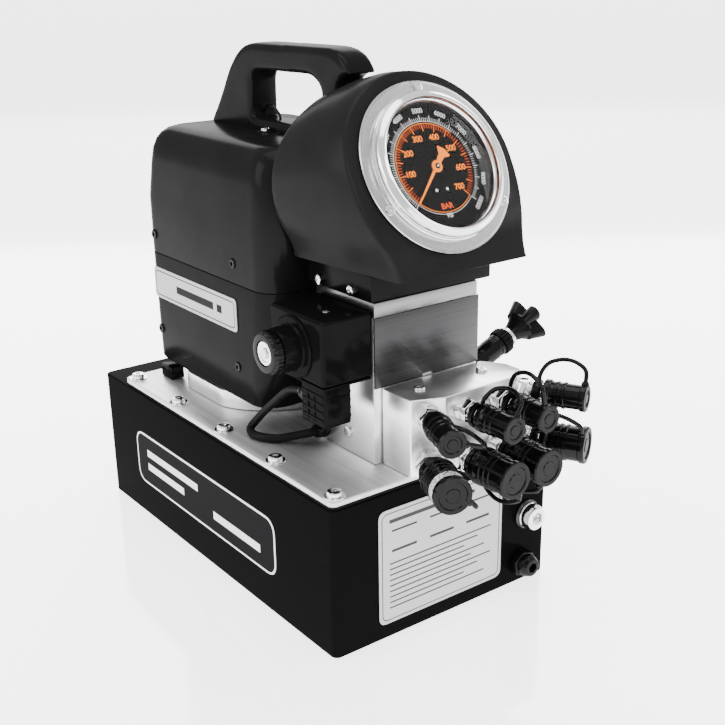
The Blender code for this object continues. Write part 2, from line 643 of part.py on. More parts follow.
def build_handle():
    half = HANDLE_WIDTH / 2
    outline = handle_points()
    sections = [[(COVER_CENTRE_X + x, y, z) for y, z in outline] for x in (-half, half)]
    handle = loft("carry_handle", sections, "cover_black")
    modifier = handle.modifiers.new("rounding", "BEVEL")
    modifier.width = HANDLE_ROUND
    modifier.segments = 2
    modifier.limit_method = "ANGLE"
    modifier.angle_limit = radians(50)
    low, high = opening_low(), opening_high()
    centre = ((low[0] + high[0]) / 2, (low[1] + high[1]) / 2)
    gap = rounded(high[0] - low[0], high[1] - low[1], 0.008, centre, steps=3)
    sections = [[(COVER_CENTRE_X + x, y, z) for y, z in gap] for x in (-half - 0.01, half + 0.01)]
    return cut(handle, loft("handle_opening", sections, "cover_black"))


def opening_low():
    """Front lower corner (y, z) of the finger gap."""
    return (COVER_FRONT + 0.020, LID_TOP + COVER_TOP + 0.010)


def opening_high():
    return (COVER_BACK - 0.086, LID_TOP + HANDLE_TOP - HANDLE_BAR)


# ---------------------------------------------------------------- solenoid

def connector_box():
    left = COIL_LEFT + 0.0035
    front = COIL_FRONT + 0.0045
    top = LID_TOP + COIL_FLOOR - GAP
    return (left, front, top - CONNECTOR_HEIGHT), (left + CONNECTOR_WIDTH, front + CONNECTOR_DEPTH, top)


def block_gland_y():
    return BLOCK_FRONT + BLOCK_DEPTH - 0.0085


def block_gland_z():
    return DECK + 0.0095


def build_solenoid():
    low = (COIL_LEFT, COIL_FRONT, LID_TOP + COIL_FLOOR)
    high = (COIL_RIGHT, COIL_FRONT + COIL_DEPTH, LID_TOP + COIL_FLOOR + COIL_HEIGHT)
    coil = box("solenoid_coil", low, high, "cover_black", bevel=0.0015)
    boss = rod("coil_boss", (COIL_LEFT - BOSS_LENGTH, SOLENOID_Y, SOLENOID_Z),
               (COIL_LEFT + 0.004, SOLENOID_Y, SOLENOID_Z), BOSS_RADIUS, "cover_black")
    bore = rod("coil_bore", (COIL_LEFT - BOSS_LENGTH - 0.01, SOLENOID_Y, SOLENOID_Z),
               (COIL_RIGHT + 0.01, SOLENOID_Y, SOLENOID_Z), TUBE_RADIUS + GAP, "steel")
    cut(fuse(coil, boss), bore)
    outward = Vector((-1, 0, 0))
    start = Vector((COIL_RIGHT, SOLENOID_Y, SOLENOID_Z))
    boss_end = COIL_WIDTH + BOSS_LENGTH
    nut_start, nut_end = boss_end + GAP, boss_end + GAP + NUT_LENGTH
    tube_end = nut_end - 0.0005
    tube = turned("armature_tube", [
        (TUBE_BORE, 0), (TUBE_RADIUS, 0), (TUBE_RADIUS, tube_end), (PIN_RADIUS + PIN_FIT, tube_end),
        (PIN_RADIUS + PIN_FIT, tube_end - 0.004), (TUBE_BORE, tube_end - 0.004)], "chrome", ring=True)
    place(tube, start, outward)
    nut = turned("coil_nut", [
        (TUBE_RADIUS + GAP, nut_start), (NUT_RADIUS, nut_start), (NUT_RADIUS, nut_start + 0.005),
        (NUT_RADIUS - 0.003, nut_end), (TUBE_RADIUS + GAP, nut_end)], "bracket_black", ring=True)
    place(nut, start, outward)
    plunger = TUBE_BORE - PIN_FIT
    pin = turned("override_pin", [
        (0, 0.0045), (plunger, 0.0045), (plunger, 0.038), (PIN_RADIUS, 0.038), (PIN_RADIUS, tube_end + 0.001),
        (0, tube_end + 0.001)], "steel")
    place(pin, start, outward)
    rod("valve_spool", (BLOCK_LEFT - 0.0045, SOLENOID_Y, SOLENOID_Z),
        (BLOCK_LEFT + SPOOL_LENGTH, SOLENOID_Y, SOLENOID_Z), SPOOL_RADIUS, "steel")
    build_connector()


def build_connector():
    low, high = connector_box()
    box("din_connector", low, high, "cover_black", bevel=0.001)
    gland_x = low[0] + 0.010
    gland_z = high[2] - 0.0155
    gland = turned("connector_gland", gland_profile(), "bracket_black", steps=18)
    place(gland, (gland_x, high[1] + GAP, gland_z), (0, 1, 0))
    lower = turned("block_gland", gland_profile(), "bracket_black", steps=18)
    place(lower, (BLOCK_LEFT - GAP, block_gland_y(), block_gland_z()), (-1, 0, 0))
    build_cable()


def gland_profile():
    """A cup with a cable socket; the cable's end meets the socket's floor."""
    socket = CABLE_RADIUS + GAP
    return [(0, 0), (GLAND_RADIUS, 0), (GLAND_RADIUS, 0.008), (0.0052, 0.011), (socket, 0.011),
            (socket, 0.004), (0, 0.004)]


# Cable route between its glands: x from the tank's middle, set back from its front, height over the lid
CABLE_ROUTE = [
    (-0.0765, 0.1000, 0.0490), (-0.0775, 0.1180, 0.0350), (-0.0795, 0.1330, 0.0215), (-0.0825, 0.1420, 0.0112),
    (-0.0865, 0.1440, 0.0052), (-0.0890, 0.1370, 0.0038), (-0.0870, 0.1260, 0.0038), (-0.0790, 0.1150, 0.0040),
    (-0.0680, 0.1055, 0.0065),
]


def smooth_route(points, per_span=3):
    """Catmull-Rom curve through the route's own points."""
    padded = [points[0] * 2 - points[1]] + points + [points[-1] * 2 - points[-2]]
    route = []
    for a, b, c, d in zip(padded, padded[1:], padded[2:], padded[3:]):
        for step in range(per_span):
            t = step / per_span
            route.append(((b * 2) + (c - a) * t + (a * 2 - b * 5 + c * 4 - d) * t ** 2
                          + (b * 3 - a - c * 3 + d) * t ** 3) / 2)
    return route + [points[-1]]


def build_cable():
    low, high = connector_box()
    start = Vector((low[0] + 0.010, high[1] + GAP + 0.0043, high[2] - 0.0155))
    end = Vector((BLOCK_LEFT - GAP - 0.0043, block_gland_y(), block_gland_z()))
    middle = [Vector((x, FRONT + y, LID_TOP + z)) for x, y, z in CABLE_ROUTE]
    leave, arrive = start + Vector((0, 0.009, 0)), end - Vector((0.009, 0, 0))
    route = [start] + smooth_route([leave] + middle + [arrive]) + [end]
    curve = bpy.data.curves.new("solenoid_cable", "CURVE")
    curve.dimensions = "3D"
    curve.bevel_depth = CABLE_RADIUS
    curve.bevel_resolution = 2
    curve.use_fill_caps = True
    spline = curve.splines.new("POLY")
    spline.points.add(len(route) - 1)
    for knot, point in zip(spline.points, route):
        knot.co = (*point, 1)
    cable = bpy.data.objects.new("solenoid_cable", curve)
    bpy.context.scene.collection.objects.link(cable)
    curve.materials.append(finish("rubber", *FINISHES["rubber"]))


# ---------------------------------------------------------------- gauge

def gauge_frame():
    """Centre of the flange's back face, and the gauge's forward and up directions."""
    centre = Vector((GAUGE_X, FRONT + GAUGE_SET_BACK, LID_TOP + GAUGE_HEIGHT))
    forward = Vector((0, -cos(GAUGE_TILT), sin(GAUGE_TILT)))
    up = Vector((0, sin(GAUGE_TILT), cos(GAUGE_TILT)))
    return centre, forward, up


def housing_section(centre, tilt, half_width, rise, floor, shift=0.0, steps=20):
    """A round-topped arch in a plane leaning back by tilt, standing on a level floor."""
    up = Vector((0, sin(tilt), cos(tilt)))
    forward = Vector((0, -cos(tilt), sin(tilt)))
    middle = Vector(centre) + forward * shift
    foot = (floor - middle.z) / cos(tilt)
    skirt = [(half_width * across, foot * down) for down, across in HOUSING_SKIRT]
    arch = [(half_width * cos(pi * step / steps), rise * sin(pi * step / steps)) for step in range(steps + 1)]
    outline = skirt + arch + [(-across, height) for across, height in reversed(skirt)]
    return [tuple(middle + Vector((across, 0, 0)) + up * height) for across, height in outline]


def build_housing():
    centre, forward, up = gauge_frame()
    back = centre + Vector((-HOUSING_BACK_SHIFT, HOUSING_DEPTH, -HOUSING_BACK_DROP))
    wall = HOUSING_WALL
    housing = loft("gauge_housing", [
        housing_section(centre, GAUGE_TILT, HOUSING_HALF_WIDTH, HOUSING_RISE, HOUSING_FLOOR, -GAP),
        housing_section(back, 0, HOUSING_BACK_HALF_WIDTH, HOUSING_BACK_RISE, HOUSING_FLOOR)],
        "housing_grey", smooth=True)
    inner_floor = HOUSING_FLOOR + wall
    space = loft("housing_space", [
        housing_section(centre, GAUGE_TILT, HOUSING_HALF_WIDTH - wall, HOUSING_RISE - wall, inner_floor, -GAP - wall),
        housing_section(back, 0, HOUSING_BACK_HALF_WIDTH - wall, HOUSING_BACK_RISE - wall, inner_floor, wall)],
        "housing_grey")
    eye = rod("housing_eye", centre - forward * 0.012, centre + forward * 0.01, CASE_RADIUS + 0.0005, "steel",
              steps=32)
    cut(housing, space, eye)
    return housing


def build_gauge(stem_hole):
    centre, forward, up = gauge_frame()
    housing = cut(build_housing(), stem_hole)
    inner = CASE_RADIUS - CASE_WALL
    case = turned("gauge_case", [
        (0, -CASE_DEPTH), (CASE_RADIUS, -CASE_DEPTH), (CASE_RADIUS, 0), (FLANGE_RADIUS, 0),
        (FLANGE_RADIUS, FLANGE_THICK), (inner, FLANGE_THICK), (inner, -CASE_DEPTH + CASE_WALL),
        (0, -CASE_DEPTH + CASE_WALL)], "steel", steps=36)
    place(case, centre, forward)
    low = FLANGE_THICK + GAP
    bezel = turned("gauge_bezel", [
        (BEZEL_BORE, low), (BEZEL_RADIUS, low), (BEZEL_RADIUS, low + BEZEL_HEIGHT * 0.45),
        (BEZEL_RADIUS - 0.002, low + BEZEL_HEIGHT * 0.85), (BEZEL_RADIUS - 0.0035, low + BEZEL_HEIGHT),
        (BEZEL_BORE, low + BEZEL_HEIGHT * 0.8)], "chrome", steps=36, ring=True)
    place(bezel, centre, forward)
    face = FLANGE_THICK - DIAL_DEPTH
    dial = turned("gauge_dial", [
        (0.0016, face - 0.001), (DIAL_RADIUS, face - 0.001), (DIAL_RADIUS, face), (0.0016, face)],
        "dial_black", steps=36, ring=True)
    place(dial, centre, forward)
    lens_floor = low + 0.004
    lens = turned("gauge_lens", [
        (0, lens_floor), (BEZEL_BORE - GAP, lens_floor), (BEZEL_BORE - GAP, lens_floor + LENS_THICK),
        (0, lens_floor + LENS_THICK)], "lens", steps=36)
    place(lens, centre, forward)
    build_pointer(centre, forward, face)
    build_flange_screws(housing, case)
    stem_top = lowest_case_point() - GAP
    stem = hexed("gauge_stem", [
        (STEM_RADIUS * 0.8, BLOCK_TOP + 2 * GAP, False), (STEM_RADIUS * 0.8, stem_top, False)], "steel")
    stem.location = (GAUGE_X, FRONT + STEM_SET_BACK, 0)


def lowest_case_point():
    centre, forward, up = gauge_frame()
    return (centre - forward * CASE_DEPTH - up * CASE_RADIUS).z


def build_pointer(centre, forward, face):
    """Hub, needle and broad tail, made pointing along local -Y, on a spindle through the dial."""
    base = face + 0.0015
    pointer = turned("gauge_pointer", [
        (0, face - 0.006), (0.0013, face - 0.006), (0.0013, base), (POINTER_HUB, base),
        (POINTER_HUB, base + 0.0014), (0, base + 0.0014)], "pointer_orange", steps=16)
    tip = -POINTER_LENGTH
    needle = prism("pointer_needle", [(-0.0011, 0), (-0.0003, tip), (0.0003, tip), (0.0011, 0)],
                   base + 0.0002, base + 0.0010, "pointer_orange")
    wedge = [(-0.0012, 0.002), (0.0012, 0.002), (0.0048, 0.013), (0, 0.018), (-0.0048, 0.013)]
    tail = prism("pointer_tail", wedge, base + 0.0002, base + 0.0010, "pointer_orange")
    spin = Matrix.Rotation(radians(-45), 4, "Z")
    stand = Vector((0, 0, 1)).rotation_difference(forward).to_matrix().to_4x4()
    for piece in (pointer, needle, tail):
        piece.matrix_world = Matrix.Translation(centre) @ stand @ spin
    fuse(pointer, needle, tail)


def build_flange_screws(housing, case):
    centre, forward, up = gauge_frame()
    for number, angle in enumerate(FLANGE_SCREW_ANGLES, 1):
        way = Vector((cos(radians(angle)), 0, 0)) + up * sin(radians(angle))
        spot = centre + way * FLANGE_SCREW_CIRCLE
        hole = rod(f"flange_hole_{number}", spot - forward * 0.008, spot + forward * 0.008, 0.0022, "steel", steps=10)
        cut(case, hole)
        cut(housing, hole)
        head = FLANGE_THICK + GAP
        screw = turned(f"flange_screw_{number}", [
            (0, -0.006), (0.0018, -0.006), (0.0018, head), (0.0040, head), (0.0036, head + 0.0016),
            (0.0018, head + 0.0024), (0, head + 0.0024)], "chrome", steps=14)
        place(screw, spot, forward)


def build_bracket(stem_hole):
    bracket = box("gauge_bracket", (BLOCK_LEFT - BRACKET_LEFT, BLOCK_FRONT - FRONT_PLATE_THICK, BRACKET_FLOOR),
                  (BLOCK_RIGHT + BRACKET_RIGHT, BLOCK_FRONT + BRACKET_DEPTH, BRACKET_TOP), "bracket_black")
    cut(bracket, stem_hole)


# ---------------------------------------------------------------- relief valve

def relief_axis():
    origin = Vector((BLOCK_RIGHT, FRONT + RELIEF_SET_BACK, LID_TOP + RELIEF_HEIGHT))
    return origin, Vector((cos(RELIEF_RISE), 0, sin(RELIEF_RISE)))


def build_relief_valve():
    origin, axis = relief_axis()
    end = RELIEF_BODY_END
    body = turned("relief_valve_body", [
        (0, -0.012), (0.006, -0.012), (0.006, 0.0048), (0.0066, 0.0052), (RELIEF_BODY, 0.024),
        (RELIEF_BODY, end), (RELIEF_BORE, end), (RELIEF_BORE, 0.006), (0, 0.006)], "rubber")
    place(body, origin, axis)
    ring = turned("relief_lock_ring", [
        (RELIEF_BORE, end + GAP), (0.0108, end + GAP), (0.0108, end + 0.0075), (RELIEF_BORE, end + 0.0075)],
        "bracket_black", ring=True)
    place(ring, origin, axis)
    seat = turned("relief_spring_seat", [(0, 0.009), (0.0049, 0.009), (0.0049, 0.015), (0, 0.015)], "steel", steps=18)
    place(seat, origin, axis)
    knob = turned("relief_knob", [
        (0, 0.015 + GAP), (0.0049, 0.015 + GAP), (0.0049, end + 0.010), (0.0085, end + 0.010),
        (0.0085, end + 0.013), (0.0062, end + 0.0135), (0.0085, end + 0.026), (0.011, end + 0.033),
        (0.0095, end + 0.040), (0, end + 0.041)], "cover_black")
    place(knob, origin, axis)
    for number in range(KNOB_LOBES):
        lobe = hexed(f"knob_lobe_{number + 1}", [
            (0.0052, end + 0.026, False), (0.0066, end + 0.029, False), (0.0066, end + 0.037, False),
            (0.0050, end + 0.0395, False)], "cover_black", steps=12)
        place(lobe, origin, axis)
        side = lobe.rotation_quaternion.to_matrix() @ Matrix.Rotation(2 * pi * number / KNOB_LOBES + pi / 4, 3, "Z")
        lobe.location = origin + side @ Vector((KNOB_RADIUS - 0.0066, 0, 0))
        fuse(knob, lobe)


# ---------------------------------------------------------------- the whole unit

def main():
    for leftover in list(bpy.data.objects):
        bpy.data.objects.remove(leftover)
    build_tank()
    build_gasket_and_lid()
    build_tank_fittings()
    stem_hole = build_block()
    build_ports()
    build_motor()
    build_cover()
    build_solenoid()
    build_bracket(stem_hole)
    build_gauge(stem_hole)
    build_relief_valve()
    bpy.context.view_layer.update()


main()
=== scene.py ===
"""Electric hydraulic power unit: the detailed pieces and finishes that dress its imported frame."""

import json
from contextlib import contextmanager
from math import atan2, cos, degrees, hypot, pi, radians, sin

import bpy
from bpy.props import FloatProperty, FloatVectorProperty, IntProperty, PointerProperty
from mathutils import Matrix, Vector


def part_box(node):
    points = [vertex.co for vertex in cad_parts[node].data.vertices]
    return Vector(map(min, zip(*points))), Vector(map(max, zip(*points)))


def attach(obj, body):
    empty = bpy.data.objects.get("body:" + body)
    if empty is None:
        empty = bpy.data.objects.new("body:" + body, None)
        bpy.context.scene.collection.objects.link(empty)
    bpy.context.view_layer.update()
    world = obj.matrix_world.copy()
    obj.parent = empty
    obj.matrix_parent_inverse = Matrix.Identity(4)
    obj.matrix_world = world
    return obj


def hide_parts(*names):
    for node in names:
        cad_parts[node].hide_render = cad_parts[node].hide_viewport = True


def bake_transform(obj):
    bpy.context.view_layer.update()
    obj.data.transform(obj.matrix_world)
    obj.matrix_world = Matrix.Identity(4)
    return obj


bl_info = {
    "name": "Hydraulic power unit dressing",
    "version": (1, 0, 0),
    "blender": (4, 5, 0),
    "location": "3D View > Sidebar > Power unit",
    "description": "Detailed pieces, finishes and stage for a portable hydraulic power unit",
    "category": "Object",
}

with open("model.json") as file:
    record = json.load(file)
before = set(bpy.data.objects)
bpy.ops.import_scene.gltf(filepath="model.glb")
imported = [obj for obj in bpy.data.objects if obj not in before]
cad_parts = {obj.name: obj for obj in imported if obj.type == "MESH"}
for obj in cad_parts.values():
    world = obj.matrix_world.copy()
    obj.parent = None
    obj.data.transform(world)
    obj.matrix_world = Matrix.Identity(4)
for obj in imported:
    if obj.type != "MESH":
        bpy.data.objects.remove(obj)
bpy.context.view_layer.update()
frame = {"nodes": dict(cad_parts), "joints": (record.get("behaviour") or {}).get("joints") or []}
JOINTS = {joint["name"]: joint for joint in frame["joints"]}
ROOT = "power_unit"
ORIGIN, UP = Vector((0, 0, 0)), Vector((0, 0, 1))
LEFT, RIGHT = Vector((-1, 0, 0)), Vector((1, 0, 0))
FORWARD, BACK = Vector((0, -1, 0)), Vector((0, 1, 0))
WELD = 0.000005                 # vertices this near each other are one
SAME_SPOT = 0.000002            # a vertex this near a point is the vertex that was put there
PLATE_EDGE = 0.0002             # rounding of the badges' edges
INK_EDGE = 0.0002               # softness of a printed line's edge
COLUMN_ANGLE = 3.75             # degrees between a knurled rim's columns of vertices
ON_PLANE = 0.0005               # a vertex this near a plane lies on it


def low(node):
    """A node's corner at the left, front and bottom."""
    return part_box(node)[0]


def high(node):
    """A node's corner at the right, back and top."""
    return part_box(node)[1]


def middle_at(node, y):
    """A node's middle across and upwards, at a depth y."""
    a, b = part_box(node)
    return Vector(((a.x + b.x) / 2, y, (a.z + b.z) / 2))


def joint_line(name):
    """Point and direction of a joint's axis."""
    joint = JOINTS[name]
    return Vector(joint["pos_m"]), Vector(joint["axis"]).normalized()


# ------------------------------------------------------------------ shader arithmetic

class Value:
    """A number in a shader: arithmetic on it adds Math nodes."""

    def __init__(self, finish, socket):
        self.finish, self.socket = finish, socket

    def math(self, operation, *others):
        return self.finish.node("ShaderNodeMath", {"operation": operation}, dict(enumerate((self, *others))))

    def __add__(self, other):
        return self.math("ADD", other)

    def __sub__(self, other):
        return self.math("SUBTRACT", other)

    def __rsub__(self, other):
        return self.finish.node("ShaderNodeMath", {"operation": "SUBTRACT"}, {0: other, 1: self})

    def __mul__(self, other):
        return self.math("MULTIPLY", other)

    def __abs__(self):
        return self.math("ABSOLUTE")

    __radd__ = __add__
    __rmul__ = __mul__


class Finish:
    """A material under construction, with the nodes that its surface detail comes from."""

    def __init__(self, name, colour=(0.5, 0.5, 0.5), roughness=0.5, metallic=0.0, coat=0.0, shine=None):
        self.material = bpy.data.materials.new(name)
        self.material.use_nodes = True
        self.tree = self.material.node_tree
        self.shader = self.tree.nodes["Principled BSDF"]
        self.set({"Base Color": (*colour, 1), "Roughness": roughness, "Metallic": metallic, "Coat Weight": coat})
        if shine is not None:
            self.set({"Specular IOR Level": 0.0, "Coat Roughness": shine})

    def set(self, sockets):
        """Put values or other nodes on the shader's own sockets."""
        for name, value in sockets.items():
            self.join(value, self.shader.inputs[name])

    def join(self, value, socket):
        """Link a node's output to a socket, or write a number or colour on it."""
        if isinstance(value, Value):
            self.tree.links.new(value.socket, socket)
        elif hasattr(socket.default_value, "__len__") and hasattr(value, "__len__"):
            for i in range(min(len(value), len(socket.default_value))):
                socket.default_value[i] = value[i]
        else:
            socket.default_value = value

    def node(self, kind, settings=None, sockets=None, output=0):
        """Add one node: settings first, then its sockets from values or other nodes."""
        node = self.tree.nodes.new(kind)
        for name, value in (settings or {}).items():
            if name == "stops":
                self.fill_ramp(node.color_ramp, value)
            else:
                setattr(node, name, value)
        for name, value in (sockets or {}).items():
            self.join(value, node.inputs[name])
        return Value(self, node.outputs[output])

    def fill_ramp(self, ramp, stops):
        while len(ramp.elements) < len(stops):
            ramp.elements.new(0.5)
        for element, (place, shade) in zip(ramp.elements, stops):
            element.position = place
            element.color = (shade, shade, shade, 1)

    def place(self, scale=(1, 1, 1), shift=(0, 0, 0)):
        """Object coordinates, moved and scaled."""
        where = self.node("ShaderNodeTexCoord", output="Object")
        return self.node("ShaderNodeMapping", {"vector_type": "POINT"},
                         {"Vector": where, "Scale": scale, "Location": shift})

    def axes(self, vector):
        """The three numbers of a vector."""
        return [self.node("ShaderNodeSeparateXYZ", sockets={"Vector": vector}, output=i) for i in range(3)]

    def noise(self, size, stretch=(1, 1, 1), detail=3, roughness=0.5, seed=0.0):
        """Noise whose features are about size metres across, drawn out along the small stretch axes."""
        where = self.place(scale=tuple(s / size for s in stretch), shift=(seed, seed * 0.7, seed * 1.3))
        return self.node("ShaderNodeTexNoise", {"noise_dimensions": "3D"},
                         {"Vector": where, "Scale": 1.0, "Detail": detail, "Roughness": roughness})

    def ramp(self, value, *stops):
        """Grey levels at places along a value: (place, shade) stops."""
        return self.node("ShaderNodeValToRGB", {"stops": stops}, {"Fac": value})

    def span(self, value, start, end, to_start=0.0, to_end=1.0):
        """A value's run from start to end, stretched to another run and held at its ends."""
        return self.node("ShaderNodeMapRange", {"clamp": True}, {
            "Value": value, "From Min": start, "From Max": end, "To Min": to_start, "To Max": to_end})

    def mix(self, amount, first, second):
        """Two colours blended."""
        settings = {"data_type": "RGBA", "blend_type": "MIX"}
        first = first if isinstance(first, Value) else (*first, 1)
        second = second if isinstance(second, Value) else (*second, 1)
        return self.node("ShaderNodeMix", settings, {0: amount, 6: first, 7: second}, output=2)

    def bump(self, height, distance, strength):
        """Relief in the surface, distance metres deep."""
        return self.node("ShaderNodeBump", sockets={"Height": height, "Distance": distance, "Strength": strength})


# ------------------------------------------------------------------ finishes

def gloss_paint(name="gloss_black_paint", colour=(0.0030, 0.0030, 0.0032), coat=0.022, shine=0.12):
    """Thick black powder coat: faint orange peel, broad changes in roughness and small scuffs."""
    finish = Finish(name, colour, 0.3, coat=coat, shine=shine)
    peel = finish.noise(0.0016, detail=2)
    broad = finish.noise(0.05, detail=4, seed=3)
    scuffs = finish.ramp(finish.noise(0.004, (1, 0.15, 1), 6, 0.7, seed=9), (0.66, 0), (0.74, 1))
    finish.set({
        "Base Color": finish.mix(scuffs * 0.3, colour, (0.02, 0.02, 0.021)),
        "Roughness": 0.20 + broad * 0.16 + scuffs * 0.2,
        "Normal": finish.bump(peel, 0.00012, 0.35),
    })
    return finish.material


def moulded_plastic(name, colour, grain, coat, depth, shine=0.3):
    """Moulded plastic: an even leather-like grain with slight rubbed patches."""
    finish = Finish(name, colour, 0.6, coat=coat, shine=shine)
    fine = finish.noise(grain, detail=5, roughness=0.65)
    cells = finish.node("ShaderNodeTexVoronoi", {"feature": "F1"},
                        {"Vector": finish.place((1 / grain,) * 3), "Scale": 1.0})
    worn = finish.ramp(finish.noise(0.03, detail=5, seed=5), (0.35, 0), (0.75, 1))
    lighter = tuple(c * 1.25 + 0.0008 for c in colour)
    finish.set({
        "Base Color": finish.mix(worn * 0.6 + fine * 0.2, colour, lighter),
        "Coat Weight": coat * (0.88 + worn * 0.12 + fine * 0.1),
        "Normal": finish.bump(fine * 0.6 + cells * 0.4, depth, 0.5),
    })
    return finish.material


def brushed_metal(name, colour, along, roughness=0.3, grain=0.0006, depth=0.00003):
    """Bright metal brushed along one axis (0, 1 or 2), with a few longer scratches."""
    stretch = [1.0, 1.0, 1.0]
    stretch[along] = 0.012
    finish = Finish(name, colour, roughness, 1.0)
    hair = finish.noise(grain, stretch, 6, 0.75)
    wide = finish.noise(grain * 9, stretch, 3, 0.6, seed=4)
    cloud = finish.noise(0.05, detail=3, seed=8)
    darker = tuple(c * 0.62 for c in colour)
    finish.set({
        "Base Color": finish.mix(finish.span(hair * 0.6 + wide * 0.5, 0.35, 0.8), darker, colour),
        "Roughness": roughness + hair * 0.14 + cloud * 0.10 - 0.08,
        "Normal": finish.bump(hair + wide * 0.6, depth, 0.5),
    })
    return finish.material


def machined_metal(name, colour=(0.66, 0.66, 0.67), roughness=0.3):
    """Milled aluminium: soft marks in two directions and a little staining."""
    finish = Finish(name, colour, roughness, 1.0)
    across = finish.noise(0.0009, (1, 0.05, 1), 4, 0.6)
    upward = finish.noise(0.0012, (1, 1, 0.05), 4, 0.6, seed=6)
    stain = finish.ramp(finish.noise(0.018, detail=6, roughness=0.6, seed=2), (0.42, 0), (0.72, 1))
    finish.set({
        "Base Color": finish.mix(stain * 0.5 + across * 0.15, colour, tuple(c * 0.72 for c in colour)),
        "Roughness": roughness - 0.06 + across * 0.12 + stain * 0.12,
        "Normal": finish.bump(across + upward, 0.00003, 0.4),
    })
    return finish.material


def bright_plate(name, colour=(0.78, 0.78, 0.79), roughness=0.09, dirt=0.35):
    """Plated or polished metal with hairline scratches and fine dirt."""
    finish = Finish(name, colour, roughness, 1.0)
    fog = finish.noise(0.009, detail=5, seed=7)
    hair = finish.ramp(finish.noise(0.0012, (1, 0.08, 0.4), 5, 0.8), (0.58, 0), (0.72, 1))
    finish.set({
        "Base Color": finish.mix(finish.span(fog, 0.45, 0.8) * dirt, colour, tuple(c * 0.55 for c in colour)),
        "Roughness": roughness + fog * 0.1 + hair * 0.08 - 0.03,
        "Normal": finish.bump(hair, 0.00001, 0.4),
    })
    return finish.material


def moulded_rubber(name="glossy_rubber", colour=(0.0025, 0.0025, 0.0026), coat=0.25, shine=0.14):
    """Oily moulded rubber: soft waviness, a bloom of dust and small nicks."""
    finish = Finish(name, colour, 0.5, coat=coat, shine=shine)
    wave = finish.noise(0.004, detail=2)
    bloom = finish.ramp(finish.noise(0.008, detail=6, roughness=0.7, seed=3), (0.5, 0), (0.8, 1))
    finish.set({
        "Base Color": finish.mix(bloom * 0.5, colour, (0.010, 0.010, 0.0105)),
        "Coat Weight": coat * (1.1 - bloom * 0.5),
        "Normal": finish.bump(wave * 0.8 + bloom * 0.2, 0.0002, 0.4),
    })
    return finish.material


def rough_casting():
    """Sand-cast metal, grainy and unevenly dark."""
    colour = (0.13, 0.13, 0.135)
    finish = Finish("rough_casting", colour, 0.5, 0.85)
    sand = finish.noise(0.0011, detail=6, roughness=0.7)
    patch = finish.noise(0.02, detail=4, seed=2)
    finish.set({
        "Base Color": finish.mix(patch, tuple(c * 0.7 for c in colour), tuple(c * 1.3 for c in colour)),
        "Roughness": 0.42 + sand * 0.2,
        "Normal": finish.bump(sand, 0.0002, 0.6),
    })
    return finish.material


def strainer_gauze():
    """Woven wire gauze, round the strainer, with painted shade in the holes of the weave."""
    finish = Finish("strainer_gauze", (0.55, 0.55, 0.56), 0.35, 1.0)
    middle = (low("suction_strainer") + high("suction_strainer")) / 2
    x, y, z = finish.axes(finish.place(shift=tuple(-middle)))
    turn = finish.node("ShaderNodeMath", {"operation": "ARCTAN2"}, {0: y, 1: x})
    warp = (turn * 90).math("SINE")
    weft = (z * 5200).math("SINE")
    # 0 at the weave's holes, painted near-black as shade seen through the gauze; 1 on the wires.
    hole_shade_mask = finish.span(warp.math("MULTIPLY", weft), -0.1, 0.2)
    finish.set({
        "Base Color": finish.mix(hole_shade_mask, (0.05, 0.05, 0.05), (0.6, 0.6, 0.6)),
        "Normal": finish.bump(abs(warp) + abs(weft), 0.0003, 0.8),
    })
    return finish.material


def printed(finish, place, start, end):
    """1 between start and end, else 0, with a slightly soft edge."""
    half = (end - start) / 2
    return finish.span(abs(place - (start + end) / 2), half, half + INK_EDGE, 1.0, 0.0)


def framed_badge(name, middle, half, normal, paper, ink, border, bars):
    """A printed plate: a rounded outline and plain bars that stand where words would be."""
    finish = Finish(name, paper, 0.45, coat=0.05, shine=0.25)
    across, upward = (1, 2) if normal == 0 else (0, 2)
    where = finish.axes(finish.place(shift=tuple(-c for c in middle)))
    side, rise = where[across], where[upward]
    amount = rounded_frame(finish, side, rise, half, border)
    for x0, x1, z0, z1 in bars:
        amount = amount.math("MAXIMUM", printed(finish, side, x0, x1) * printed(finish, rise, z0, z1))
    fleck = finish.noise(0.0012, detail=5, roughness=0.7)
    wear = finish.ramp(fleck, (0.68, 0), (0.75, 1))
    finish.set({
        "Base Color": finish.mix(amount * (1 - wear * 0.6), paper, ink),
        "Roughness": 0.3 + fleck * 0.15,
        "Normal": finish.bump(amount + fleck * 0.2, 0.00004, 0.5),
    })
    return finish.material


def rounded_frame(finish, side, rise, half, border):
    """1 along the outline of a rounded rectangle, else 0.  border: (inset, radius, thickness)."""
    inset, radius, thick = border
    dx = (abs(side) - (half[0] - inset - radius)).math("MAXIMUM", 0.0)
    dz = (abs(rise) - (half[1] - inset - radius)).math("MAXIMUM", 0.0)
    reach = (dx * dx + dz * dz).math("SQRT")
    return finish.span(abs(reach - radius), thick / 2, thick / 2 + INK_EDGE, 1.0, 0.0)


FINISHES = {}


